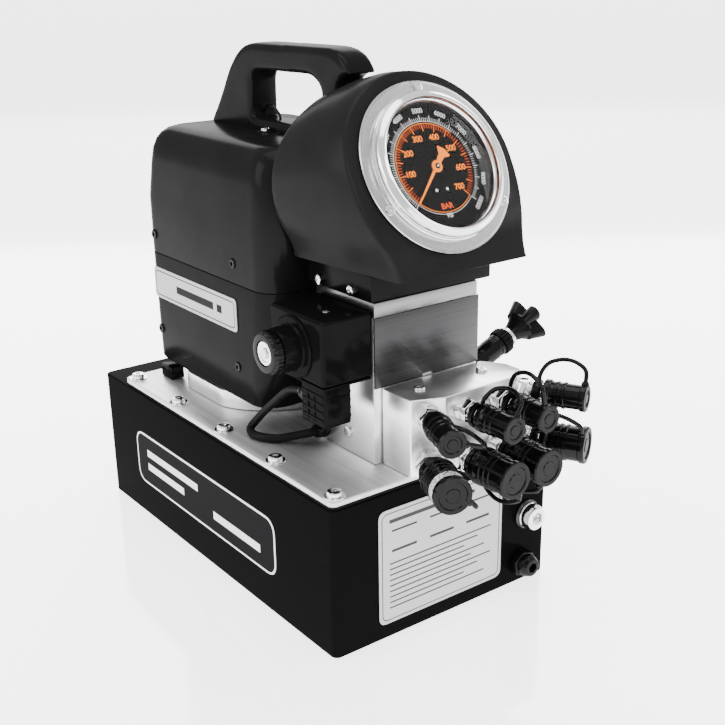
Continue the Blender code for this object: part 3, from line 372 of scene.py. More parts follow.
def finish_of(name):
    """Each finish is made once, when a piece first asks for it."""
    makers = {
        "paint": gloss_paint,
        "cover": lambda: moulded_plastic("satin_cover_plastic", (0.0050, 0.0050, 0.0052), 0.0011, 0.11, 0.00008, 0.2),
        "housing": lambda: moulded_plastic("grained_housing", (0.0085, 0.0085, 0.0088), 0.0008, 0.10, 0.00012, 0.28),
        "coil": lambda: moulded_plastic("coil_resin", (0.0030, 0.0030, 0.0031), 0.0010, 0.06, 0.00010, 0.14),
        "knob": lambda: moulded_plastic("lobed_knob_plastic", (0.0030, 0.0030, 0.0031), 0.0008, 0.2, 0.00008, 0.22),
        "bracket": lambda: gloss_paint("satin_bracket_paint", (0.0025, 0.0025, 0.0026), 0.12, 0.2),
        "lid": lambda: brushed_metal("brushed_lid", (0.74, 0.74, 0.745), 1, 0.42, 0.0007),
        "front_sheet": lambda: brushed_metal("brushed_front_sheet", (0.055, 0.055, 0.056), 0, 0.25, 0.0005),
        "block": lambda: machined_metal("machined_block", (0.88, 0.88, 0.89), 0.3),
        "top_plate": lambda: brushed_metal("brushed_top_plate", (0.22, 0.22, 0.225), 0, 0.22, 0.0005),
        "bright": lambda: bright_plate("bright_plating"),
        "steel": lambda: bright_plate("ground_steel", (0.62, 0.62, 0.63), 0.22, 0.5),
        "dark_steel": lambda: bright_plate("dark_steel", (0.05, 0.05, 0.052), 0.35, 0.5),
        "rubber": moulded_rubber,
        "cable": lambda: moulded_rubber("cable_jacket", (0.0050, 0.0050, 0.0051), 0.12, 0.3),
        "gasket": lambda: moulded_rubber("gasket_sheet", (0.0080, 0.0080, 0.0082), 0.03, 0.5),
        "casting": rough_casting,
    }
    if name not in FINISHES:
        FINISHES[name] = makers[name]()
    return FINISHES[name]


# ------------------------------------------------------------------ modelling by hand, in code

def start_clean():
    """Object mode, with nothing selected."""
    if bpy.context.object and bpy.context.object.mode != "OBJECT":
        bpy.ops.object.mode_set(mode="OBJECT")
    bpy.ops.object.select_all(action="DESELECT")


def take(piece):
    """Select one piece alone."""
    start_clean()
    bpy.context.view_layer.objects.active = piece
    piece.select_set(True)
    return piece


def apply_place(piece):
    """Put a piece's place, turn and size into its mesh."""
    take(piece)
    bpy.ops.object.transform_apply(location=True, rotation=True, scale=True)
    return piece


def pick(piece, kind, test):
    """In edit mode, select exactly the vertices, edges or faces whose middle passes the test."""
    bpy.ops.mesh.select_mode(type={"verts": "VERT", "edges": "EDGE", "faces": "FACE"}[kind])
    bpy.ops.mesh.select_all(action="DESELECT")
    bpy.ops.object.mode_set(mode="OBJECT")
    mesh = piece.data
    for part in {"verts": mesh.vertices, "edges": mesh.edges, "faces": mesh.polygons}[kind]:
        if kind == "verts":
            part.select = test(part.co)
        elif kind == "edges":
            first, second = (mesh.vertices[i].co for i in part.vertices)
            part.select = test((first + second) / 2, (second - first).normalized())
        else:
            part.select = test(part.center, part.normal)
    bpy.ops.object.mode_set(mode="EDIT")


@contextmanager
def editing(piece):
    """Edit mode on one piece, then back to object mode."""
    take(piece)
    bpy.ops.object.mode_set(mode="EDIT")
    yield
    bpy.ops.object.mode_set(mode="OBJECT")


def face_outwards():
    """Turn every face of the piece in edit mode outwards, and leave edit mode."""
    bpy.ops.mesh.select_all(action="SELECT")
    bpy.ops.mesh.normals_make_consistent(inside=False)
    bpy.ops.object.mode_set(mode="OBJECT")


def extrude(step):
    """Extrude what is selected by a vector."""
    bpy.ops.mesh.extrude_region_move(TRANSFORM_OT_translate={"value": step})


def knurl(piece, centre, first, second, radius, scale):
    """Press every other pair of columns of a round rim inwards; first and second span its plane."""
    def in_groove(co):
        side, rise = (co - centre).dot(first), (co - centre).dot(second)
        turn = degrees(atan2(rise, side)) % 360
        return hypot(side, rise) > radius and round(turn / COLUMN_ANGLE) % 4 in (0, 1)

    with editing(piece):
        pick(piece, "verts", in_groove)
        bpy.ops.transform.resize(value=scale, center_override=tuple(centre))


def modify(piece, kind, **settings):
    """Add a modifier and apply it."""
    take(piece)
    modifier = piece.modifiers.new(kind.lower(), kind)
    for name, value in settings.items():
        setattr(modifier, name, value)
    bpy.ops.object.modifier_apply(modifier=modifier.name)
    return piece


def soften(piece, width, segments=2, angle=35):
    """Round every edge sharper than the angle."""
    return modify(piece, "BEVEL", width=width, segments=segments, limit_method="ANGLE", angle_limit=radians(angle),
                  harden_normals=False, miter_outer="MITER_ARC")


def smooth(piece, angle=35):
    """Shade smooth, apart from the edges sharper than the angle."""
    take(piece)
    bpy.ops.object.shade_smooth_by_angle(angle=radians(angle))
    return piece


def dress(piece, name, material):
    """Name a piece and give it its one material."""
    piece.name = name
    piece.data.name = name
    piece.data.materials.clear()
    piece.data.materials.append(material)
    return piece


def block(name, lower, upper, material, width=0.0008, segments=3):
    """A rounded-edged block between two corners."""
    start_clean()
    lower, upper = Vector(lower), Vector(upper)
    bpy.ops.mesh.primitive_cube_add(size=1, location=(lower + upper) / 2)
    piece = bpy.context.object
    piece.scale = upper - lower
    apply_place(piece)
    if width:
        soften(piece, width, segments)
    return dress(smooth(piece), name, material)


def single_vertex(point):
    """A new mesh object, in edit mode, of one selected vertex."""
    start_clean()
    bpy.ops.mesh.primitive_plane_add(size=0.01, location=point)
    piece = apply_place(bpy.context.object)
    bpy.ops.object.mode_set(mode="EDIT")
    bpy.ops.mesh.select_mode(type="VERT")
    bpy.ops.mesh.select_all(action="SELECT")
    bpy.ops.mesh.merge(type="CENTER")
    return piece


def trace(points):
    """Extrude the selected vertex through the rest of the points."""
    for before, after in zip(points, points[1:]):
        extrude(Vector(after) - Vector(before))


def mm(*points):
    """Points of a profile, given in millimetres."""
    return [(radius / 1000, height / 1000) for radius, height in points]


def raised(height, points):
    """The same profile, higher up."""
    return [(radius, height + rise) for radius, rise in points]


def turned(name, profile, origin, axis, material, steps=48, ring=False, angle=32):
    """Spin a (radius, height) profile about an axis through origin."""
    points = [Vector((radius, 0, height)) for radius, height in profile]
    piece = single_vertex(points[0])
    trace(points)
    bpy.ops.mesh.select_all(action="SELECT")
    if ring:
        close_ends(piece, points)
    bpy.ops.mesh.spin(steps=steps, angle=2 * pi, center=(0, 0, 0), axis=(0, 0, 1))
    bpy.ops.mesh.select_all(action="SELECT")
    bpy.ops.mesh.remove_doubles(threshold=WELD)
    face_outwards()
    stand(piece, origin, axis)
    return dress(smooth(piece, angle), name, material)


def close_ends(piece, points):
    """Join the first and last points of a traced line."""
    pick(piece, "verts", lambda co: min((co - points[0]).length, (co - points[-1]).length) < SAME_SPOT)
    bpy.ops.mesh.edge_face_add()
    bpy.ops.mesh.select_all(action="SELECT")


def stand(piece, origin, axis):
    """Move a piece made about the world's Z so that it stands on origin along an axis."""
    piece.rotation_mode = "QUATERNION"
    piece.rotation_quaternion = UP.rotation_difference(Vector(axis).normalized())
    piece.location = origin
    return apply_place(piece)


def slab(name, outline, depth, material, width=0.0006, segments=2, angle=35):
    """A closed outline of 3-D points, extruded by a vector."""
    points = [Vector(point) for point in outline]
    piece = single_vertex(points[0])
    trace(points)
    bpy.ops.mesh.select_all(action="SELECT")
    bpy.ops.mesh.edge_face_add()
    bpy.ops.mesh.select_all(action="SELECT")
    extrude(depth)
    face_outwards()
    if width:
        soften(piece, width, segments, angle)
    return dress(smooth(piece), name, material)


def bridged(name, loops, material, angle):
    """Closed loops of equal length, bridged in order and capped."""
    piece = single_vertex(loops[0][0])
    for number, loop in enumerate(loops):
        if number:
            start_next_loop(loop[0])
        trace([Vector(point) for point in loop])
    join_loops(piece, loops)
    bpy.ops.mesh.select_all(action="SELECT")
    bpy.ops.mesh.bridge_edge_loops(number_cuts=0)
    bpy.ops.mesh.select_mode(type="EDGE")
    bpy.ops.mesh.select_all(action="DESELECT")
    bpy.ops.mesh.select_non_manifold(extend=False)
    bpy.ops.mesh.edge_face_add()
    face_outwards()
    return dress(smooth(piece, angle), name, material)


def start_next_loop(point):
    """Leave one new vertex selected at point, in the same mesh."""
    bpy.ops.mesh.select_all(action="DESELECT")
    bpy.ops.mesh.primitive_plane_add(size=0.01, location=point)
    bpy.ops.mesh.merge(type="CENTER")


def join_loops(piece, loops):
    """Close every traced line into a loop."""
    for loop in loops:
        first, last = Vector(loop[0]), Vector(loop[-1])
        pick(piece, "verts", lambda co: min((co - first).length, (co - last).length) < SAME_SPOT)
        bpy.ops.mesh.edge_face_add()


def copy_of(piece, name, matrix):
    """A copy with its own mesh, moved by a matrix that is then applied."""
    take(piece)
    bpy.ops.object.duplicate(linked=False)
    twin = bpy.context.object
    twin.matrix_world = matrix
    apply_place(twin)
    twin.name = twin.data.name = name
    return twin


def joined(name, pieces):
    """Join pieces into the first one."""
    start_clean()
    for piece in pieces:
        piece.select_set(True)
    bpy.context.view_layer.objects.active = pieces[0]
    if len(pieces) > 1:
        bpy.ops.object.join()
    whole = bpy.context.object
    whole.name = whole.data.name = name
    return whole


def carve(piece, cutter):
    """Cut one piece with another, which is then used up."""
    modify(piece, "BOOLEAN", operation="DIFFERENCE", solver="EXACT", object=cutter)
    bpy.data.objects.remove(cutter)
    return piece


def hex_prism(name, across, start, end, origin, axis, material, turn=0.0, chamfer=0.0006):
    """A six-sided bar with chamfered ends, across flats."""
    start_clean()
    bpy.ops.mesh.primitive_cylinder_add(vertices=6, radius=across / 2 / cos(pi / 6), depth=end - start,
                                        location=(0, 0, (start + end) / 2), rotation=(0, 0, turn))
    piece = apply_place(bpy.context.object)
    soften(piece, chamfer, 2)
    stand(piece, origin, axis)
    return dress(smooth(piece), name, material)


def socket_screw(name, origin, axis, radius, height, material, recess=0.45, dome=0.35, washer=0.0):
    """A button-head screw with a hexagonal recess, standing on origin."""
    base = 0.0006 if washer else 0.0
    key = radius * recess
    shape = ((0, 0), (1, 0), (1, 1 - dome), (0.93, 0.86), (0.74, 0.97), (0.55, 1), (0, 1))
    profile = [(radius * across, base + height * rise) for across, rise in shape]
    head = turned(name, profile, ORIGIN, UP, material, 28)
    pit = hex_prism("pit", key * 2 * cos(pi / 6), base + height * 0.42, base + height * 1.4, ORIGIN, UP,
                    material, chamfer=0.00003)
    carve(head, pit)
    if washer:
        ring = turned("washer", [(radius * 0.5, 0), (washer, 0), (washer, 0.0005), (washer - 0.0003, 0.0008),
                                 (radius * 0.5, 0.0008)], ORIGIN, UP, material, 32, ring=True)
        head = joined(name, [head, ring])
    stand(head, origin, axis)
    return smooth(head, 30)


def screw_set(name, template, spots):
    """Copies of one screw at (point, direction) spots, joined; the template is used up."""
    copies = []
    for number, (point, way) in enumerate(spots):
        turn = UP.rotation_difference(Vector(way).normalized()).to_matrix().to_4x4()
        spin = Matrix.Rotation(number * 0.7, 4, "Z")
        copies.append(copy_of(template, f"{name}_{number}", Matrix.Translation(Vector(point)) @ turn @ spin))
    bpy.data.objects.remove(template)
    return joined(name, copies)


def smooth_route(points, per_span):
    """Catmull-Rom curve through the route's own points."""
    points = [Vector(point) for point in points]
    padded = [points[0] * 2 - points[1]] + points + [points[-1] * 2 - points[-2]]
    route = []
    for a, b, c, d in zip(padded, padded[1:], padded[2:], padded[3:]):
        for step in range(per_span):
            t = step / per_span
            route.append(((b * 2) + (c - a) * t + (a * 2 - b * 5 + c * 4 - d) * t ** 2
                          + (b * 3 - a - c * 3 + d) * t ** 3) / 2)
    return route + [points[-1]]


def tube(name, points, radius, material, per_span, sides):
    """A round strand along a smooth route, as a mesh."""
    start_clean()
    bpy.ops.curve.primitive_nurbs_path_add()
    strand = bpy.context.object
    curve = strand.data
    curve.splines.remove(curve.splines[0])
    spline = curve.splines.new("POLY")
    route = smooth_route(points, per_span)
    spline.points.add(len(route) - 1)
    for knot, point in zip(spline.points, route):
        knot.co = (*point, 1)
    curve.bevel_depth = radius
    curve.bevel_resolution = sides
    curve.use_fill_caps = True
    take(strand)
    bpy.ops.object.convert(target="MESH")
    strand = bpy.context.object
    apply_place(strand)
    return dress(smooth(strand, 60), name, material)


def rounded_corners(points, radius, steps=4):
    """Soften the corners of a closed outline of 2-D points."""
    outline = []
    count = len(points)
    for i in range(count):
        before, here, after = (Vector(points[(i + j) % count]) for j in (-1, 0, 1))
        into, out = (before - here), (after - here)
        reach = min(radius, into.length * 0.45, out.length * 0.45)
        start, end = here + into.normalized() * reach, here + out.normalized() * reach
        for step in range(steps + 1):
            t = step / steps
            outline.append(start * (1 - t) ** 2 + here * 2 * t * (1 - t) + end * t ** 2)
    return outline


def rounded_sheet(half, radius, steps):
    """The outline of a rounded rectangle about (0, 0), from its half width and half height."""
    wide, tall = half
    return rounded_corners([Vector(c) for c in ((wide, tall), (-wide, tall), (-wide, -tall), (wide, -tall))],
                           radius, steps)


def keep(piece, *nodes, slot, body=ROOT):
    """Hand a finished piece over: it rides on a body and stands for its CAD nodes, which are hidden; slot is not
    used.
    """
    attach(piece, body)
    if nodes:
        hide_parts(*nodes)


def tower(name, levels, radius, material, segments=8):
    """A rounded-rectangle column.  levels: (z, x0, x1, y0, y1) from one end to the other."""
    z, x0, x1, y0, y1 = levels[0]
    start_clean()
    bpy.ops.mesh.primitive_plane_add(size=1, location=((x0 + x1) / 2, (y0 + y1) / 2, z))
    piece = bpy.context.object
    piece.scale = (x1 - x0, y1 - y0, 1)
    apply_place(piece)
    bpy.ops.object.mode_set(mode="EDIT")
    bpy.ops.mesh.select_all(action="SELECT")
    bpy.ops.mesh.bevel(offset=radius, offset_type="OFFSET", segments=segments, profile=0.5, affect="VERTICES")
    bpy.ops.mesh.select_all(action="SELECT")
    for before, after in zip(levels, levels[1:]):
        climb(before, after)
    face_outwards()
    return dress(piece, name, material)


def climb(before, after):
    """Extrude the selected face from one level of a tower to the next."""
    z, x0, x1, y0, y1 = before
    height, a0, a1, b0, b1 = after
    extrude(((a0 + a1 - x0 - x1) / 2, (b0 + b1 - y0 - y1) / 2, height - z))
    bpy.ops.transform.resize(value=((a1 - a0) / (x1 - x0), (b1 - b0) / (y1 - y0), 1),
                             center_override=((a0 + a1) / 2, (b0 + b1) / 2, height))


# ------------------------------------------------------------------ sizes and colours a user may change

class TankSizes(bpy.types.PropertyGroup):
    corner: FloatProperty(name="Corner radius", description="Rounding of the tank's upright edges",
                          default=0.006, min=0.002, max=0.02, unit="LENGTH")
    screws_a_side: IntProperty(name="Lid screws a side", description="Button-head screws along each long edge",
                               default=5, min=2, max=8)
    badge_paper: FloatVectorProperty(name="Side badge", description="Ground colour of the badge on the tank's side",
                                     subtype="COLOR", size=3, default=(0.006, 0.006, 0.0065), min=0, max=1)
    badge_ink: FloatVectorProperty(name="Side badge ink", description="Colour of the badge's outline and bars",
                                   subtype="COLOR", size=3, default=(0.82, 0.82, 0.82), min=0, max=1)


class CoverSizes(bpy.types.PropertyGroup):
    wall: FloatProperty(name="Wall", description="Wall thickness of the motor cover", default=0.004,
                        min=0.002, max=0.006, unit="LENGTH")
    grip: IntProperty(name="Grip rounding", description="Steps of smoothing that round the carry handle", default=24,
                      min=4, max=60)


class GaugeSizes(bpy.types.PropertyGroup):
    warm: FloatVectorProperty(name="Scale colour", description="Orange of the dial's inner scale and pointer",
                              subtype="COLOR", size=3, default=(1.0, 0.23, 0.012), min=0, max=1)
    red: FloatVectorProperty(name="Band colour", description="Red-orange of the inner scale's ticks",
                             subtype="COLOR", size=3, default=(0.75, 0.09, 0.015), min=0, max=1)
    top_bar: IntProperty(name="Top of the bar scale", description="Pressure at the orange scale's end", default=700,
                         min=70, max=2100)
    top_psi: IntProperty(name="Top of the psi scale", description="Pressure at the white scale's end", default=10000,
                         min=1000, max=30000)


class PortSizes(bpy.types.PropertyGroup):
    tether: FloatProperty(name="Tether thickness", description="Radius of the rubber tethers on the dust caps",
                          default=0.0017, min=0.0008, max=0.003, unit="LENGTH")
    band: FloatVectorProperty(name="Cap band", description="Colour of the printed band on the left lower cap",
                              subtype="COLOR", size=3, default=(0.65, 0.65, 0.65), min=0, max=1)


class StageLook(bpy.types.PropertyGroup):
    lens: FloatProperty(name="Focal length", description="Focal length on a 36 mm sensor, in mm", default=56.19,
                        min=20, max=200)
    floor: FloatVectorProperty(name="Floor colour", description="Colour of the pale floor", subtype="COLOR", size=3,
                               default=(0.86, 0.86, 0.87), min=0, max=1)


# ------------------------------------------------------------------ tank

FRONT = low("tank").y
SIDE = low("tank").x
LID_TOP = high("cover_plate").z
COVER_TOP = LID_TOP + 0.229     # the flat top of the motor's cover, where the carry handle stands


class POWERUNIT_OT_tank(bpy.types.Operator):
    """Make the oil tank, its gasket, lid and lid screws"""
    bl_idname = "powerunit.tank"
    bl_label = "Tank and lid"

    def execute(self, context):
        sizes = context.scene.powerunit_tank
        a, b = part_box("tank")
        tank = tower("oil_tank", [(a.z, a.x, b.x, a.y, b.y), (b.z, a.x, b.x, a.y, b.y)], sizes.corner,
                     finish_of("paint"))
        keep(smooth(soften(tank, 0.0011, 3)), "tank", slot="tank_black")
        a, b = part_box("cover_plate")
        lid = tower("brushed_cover_plate", [(a.z, a.x, b.x, a.y, b.y), (b.z, a.x, b.x, a.y, b.y)], sizes.corner,
                    finish_of("lid"))
        keep(smooth(soften(lid, 0.0012, 2)), "cover_plate", slot="brushed")
        frame["nodes"]["tank_gasket"].data.materials[0] = finish_of("gasket")
        self.lid_screws(sizes, a, b)
        return {"FINISHED"}

    def lid_screws(self, sizes, a, b):
        template = socket_screw("lid_screw", ORIGIN, UP, 0.0056, 0.0042, finish_of("bright"), washer=0.0082)
        inset, both_ends = 0.0085, 0.0195
        pitch = (b.y - a.y - both_ends) / (sizes.screws_a_side - 1)
        spots = [((side, a.y + inset + pitch * number, b.z), UP)
                 for side in (a.x + inset, b.x - inset) for number in range(sizes.screws_a_side)]
        keep(screw_set("lid_screws", template, spots), slot="chrome")


class POWERUNIT_OT_tank_fittings(bpy.types.Operator):
    """Make the level fitting, the drain plug and the tank's badges"""
    bl_idname = "powerunit.tank_fittings"
    bl_label = "Tank fittings"

    def execute(self, context):
        sizes = context.scene.powerunit_tank
        self.filler()
        self.drain()
        self.front_label()
        self.side_badge(sizes)
        return {"FINISHED"}

    def filler(self):
        centre = middle_at("level_fitting", FRONT)
        seat = turned("seat", mm((4, 0.3), (12.5, 0.3), (12.5, 1.6), (11.8, 2.4), (4, 2.4)), centre, FORWARD,
                      finish_of("dark_steel"), 48, ring=True)
        body = turned("body", mm((0, 2), (10.6, 2), (10.6, 3.8), (9.8, 4.4), (10.8, 5.2), (10.8, 8.4), (10.1, 10.4),
                                 (9.6, 12.6), (8.8, 13), (0, 13)), centre, FORWARD, finish_of("bright"), 56)
        pit = hex_prism("pit", 0.0098, 0.0065, 0.02, centre, FORWARD, finish_of("bright"), chamfer=0.00005)
        carve(body, pit)
        keep(joined("filler_fitting", [smooth(body), seat]), "level_fitting", slot="chrome")

    def drain(self):
        centre = middle_at("drain_plug", FRONT)
        rubber = finish_of("rubber")
        nut = hex_prism("nut", 0.0205, 0.0004, 0.0085, centre, FORWARD, rubber, turn=0.2, chamfer=0.001)
        cap = turned("cap", mm((0, 8), (9.2, 8), (9.2, 12.5), (8.4, 14.2), (7.4, 16.6), (6.4, 17), (0, 17)), centre,
                     FORWARD, rubber, 40)
        pit = hex_prism("pit", 0.0078, 0.011, 0.03, centre, FORWARD, rubber, turn=0.2, chamfer=0.00005)
        carve(cap, pit)
        keep(joined("drain_plug_hex", [smooth(cap), nut]), "drain_plug", slot="rubber")

    def front_label(self):
        a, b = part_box("front_label_plate")
        half = ((b.x - a.x) / 2, (b.z - a.z) / 2)
        middle = ((a.x + b.x) / 2, a.y, (a.z + b.z) / 2)
        wide, tall = half
        rows = [(-wide + 0.010, wide - 0.030, tall - 0.0115, tall - 0.0085)]
        for below, above in ((0.036, 0.034), (0.019, 0.0175)):
            rows += [(x, x + 0.024, tall - below, tall - above) for x in (-0.050, -0.013, 0.024)]
        for number in range(9):
            z = tall - 0.046 - number * 0.0047
            ragged = (number * 7 % 5) * 0.007
            rows.append((-wide + 0.010, wide - 0.012 - ragged, z, z + 0.0011))
        look = framed_badge("printed_front_label", middle, half, 1, (0.50, 0.50, 0.50), (0.05, 0.05, 0.05),
                            (0.003, 0.005, 0.0007), rows)
        outline = [(middle[0] + x, a.y + 0.0006, middle[2] + z) for x, z in rounded_sheet(half, 0.007, 6)]
        plate = slab("printed_label", outline, (0, -0.0007, 0), look, PLATE_EDGE, 1)
        keep(plate, "front_label_plate", slot="label_silver")

    def side_badge(self, sizes):
        half = (0.119, 0.0255)
        middle = (SIDE, FRONT + 0.1968, 0.0583)
        bars = [(-0.098, -0.004, 0.004, 0.0105), (-0.098, -0.030, -0.0095, -0.003), (0.022, 0.096, -0.0115, -0.0045)]
        bars = [(-x1, -x0, z0, z1) for x0, x1, z0, z1 in bars]
        look = framed_badge("printed_side_badge", middle, half, 0, tuple(sizes.badge_paper), tuple(sizes.badge_ink),
                            (0.0008, 0.0115, 0.0019), bars)
        outline = [(middle[0], middle[1] + y, middle[2] + z) for y, z in rounded_sheet(half, 0.014, 6)]
        keep(slab("side_badge", outline, (-0.0004, 0, 0), look, PLATE_EDGE, 1), slot="tank_black")


# ------------------------------------------------------------------ valve block and manifold

class POWERUNIT_OT_valve_block(bpy.types.Operator):
    """Make the valve block, its plates and the port manifold"""
    bl_idname = "powerunit.valve_block"
    bl_label = "Valve block"

    def execute(self, context):
        a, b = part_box("valve_block")
        keep(block("machined_valve_block", a, b, finish_of("block"), 0.0007, 2), "valve_block", slot="machined")
        a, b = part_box("valve_top_plate")
        keep(block("machined_top_plate", a, b, finish_of("top_plate"), 0.0006, 2), "valve_top_plate",
             slot="machined")
        self.front_plate()
        self.manifold()
        self.screws()
        return {"FINISHED"}

    def front_plate(self):
        a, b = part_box("valve_front_plate")
        middle = (a.x + b.x) / 2
        notch = a.z + 0.0022
        outline = [(a.x, a.z), (middle - 0.006, a.z), (middle - 0.0045, notch), (middle + 0.0045, notch),
                   (middle + 0.006, a.z), (b.x, a.z), (b.x, b.z), (a.x, b.z)]
        plate = slab("brushed_front_sheet", [(x, b.y, z) for x, z in outline], (0, a.y - b.y, 0),
                     finish_of("front_sheet"), 0.0003, 2)
        keep(plate, "valve_front_plate", slot="brushed")

    def manifold(self):
        a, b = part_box("port_manifold")
        spots = [vertex.co for vertex in frame["nodes"]["port_manifold"].data.vertices]
        nose = [co.x for co in spots if co.y < a.y + ON_PLANE]
        left_side = [co.y for co in spots if co.x < a.x + ON_PLANE]
        right_side = [co.y for co in spots if co.x > b.x - ON_PLANE]
        tail = [co.x for co in spots if co.y > b.y - ON_PLANE]
        outline = [(a.x, b.y), (a.x, min(left_side)), (min(nose), a.y), (max(nose), a.y), (b.x, min(right_side)),
                   (b.x, max(right_side)), (max(tail), b.y)]
        body = slab("machined_port_manifold", [(x, y, a.z) for x, y in outline], (0, 0, b.z - a.z),
                    finish_of("block"), 0.0008, 3, angle=15)
        keep(body, "port_manifold", slot="machined")

    def screws(self):
        a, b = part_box("valve_block")
        m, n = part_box("port_manifold")
        template = socket_screw("block_screw", ORIGIN, UP, 0.0045, 0.0022, finish_of("steel"), 0.5)
        spots = [((a.x, a.y + 0.0327, a.z + 0.0168), LEFT), ((m.x + 0.0205, FRONT + 0.0130, n.z), UP),
                 ((n.x - 0.026, FRONT + 0.0130, n.z), UP), ((b.x, a.y + 0.050, a.z + 0.020), RIGHT),
                 ((b.x - 0.02, b.y, a.z + 0.03), BACK), ((a.x + 0.02, b.y, a.z + 0.03), BACK)]
        keep(screw_set("block_screws", template, spots), slot="steel")


# ------------------------------------------------------------------ couplers and dust caps

def port_side(axis, angle):
    """A direction square to a port's axis; 0 is up, 90 is to the viewer's left."""
    across = UP.cross(axis).normalized()
    return UP * cos(radians(angle)) + across * sin(radians(angle))


class POWERUNIT_OT_couplers(bpy.types.Operator):
    """Make the eight quick couplers on the manifold"""
    bl_idname = "powerunit.couplers"
    bl_label = "Couplers"

    def execute(self, context):
        for number in range(1, 9):
            origin, axis = joint_line(f"dust_cap_{number}_pull")
            if number <= 4:
                parts = self.nipple(origin, axis)
            else:
                parts = self.socket(origin, axis)
            keep(joined(f"quick_coupler_{number}", parts), f"coupler_{number}", slot="chrome")
        return {"FINISHED"}

    def nipple(self, origin, axis):
        bright = finish_of("bright")
        return [
            turned("washer", mm((3, 0.3), (9.2, 0.3), (9.4, 1.2), (9.2, 2), (3, 2)), origin, axis, bright, 40,
                   ring=True),
            hex_prism("hex", 0.0168, 0.0018, 0.0112, origin, axis, bright, chamfer=0.0008),
            turned("neck", mm((0, 10.8), (7.4, 10.8), (7.4, 13.5), (6.4, 14), (6.4, 16), (7.3, 16.5), (7.3, 19.5),
                              (6.6, 20.5), (6.6, 30), (5.4, 32), (5.4, 34), (6.5, 36), (6.5, 41), (5.8, 42), (0, 42)),
                   origin, axis, bright, 40)]

    def socket(self, origin, axis):
        bright, dark = finish_of("bright"), finish_of("dark_steel")
        return [
            turned("washer", mm((4, 0.3), (11.2, 0.3), (11.4, 1.2), (11.2, 2), (4, 2)), origin, axis, bright, 40,
                   ring=True),
            hex_prism("hex", 0.0208, 0.0018, 0.0112, origin, axis, bright, chamfer=0.0009),
            turned("sleeve", mm((0, 10.8), (9.8, 10.8), (9.8, 12.8), (9, 13.4), (9, 14.6), (9.9, 15.2), (9.9, 20.5),
                                (10.4, 21.5), (10.4, 40), (9.8, 44), (0, 44)), origin, axis, bright, 40),
            turned("knurl", mm((9.6, 15.6), (10.2, 16), (10.2, 19.6), (9.6, 20)), origin, axis, dark, 48, ring=True)]


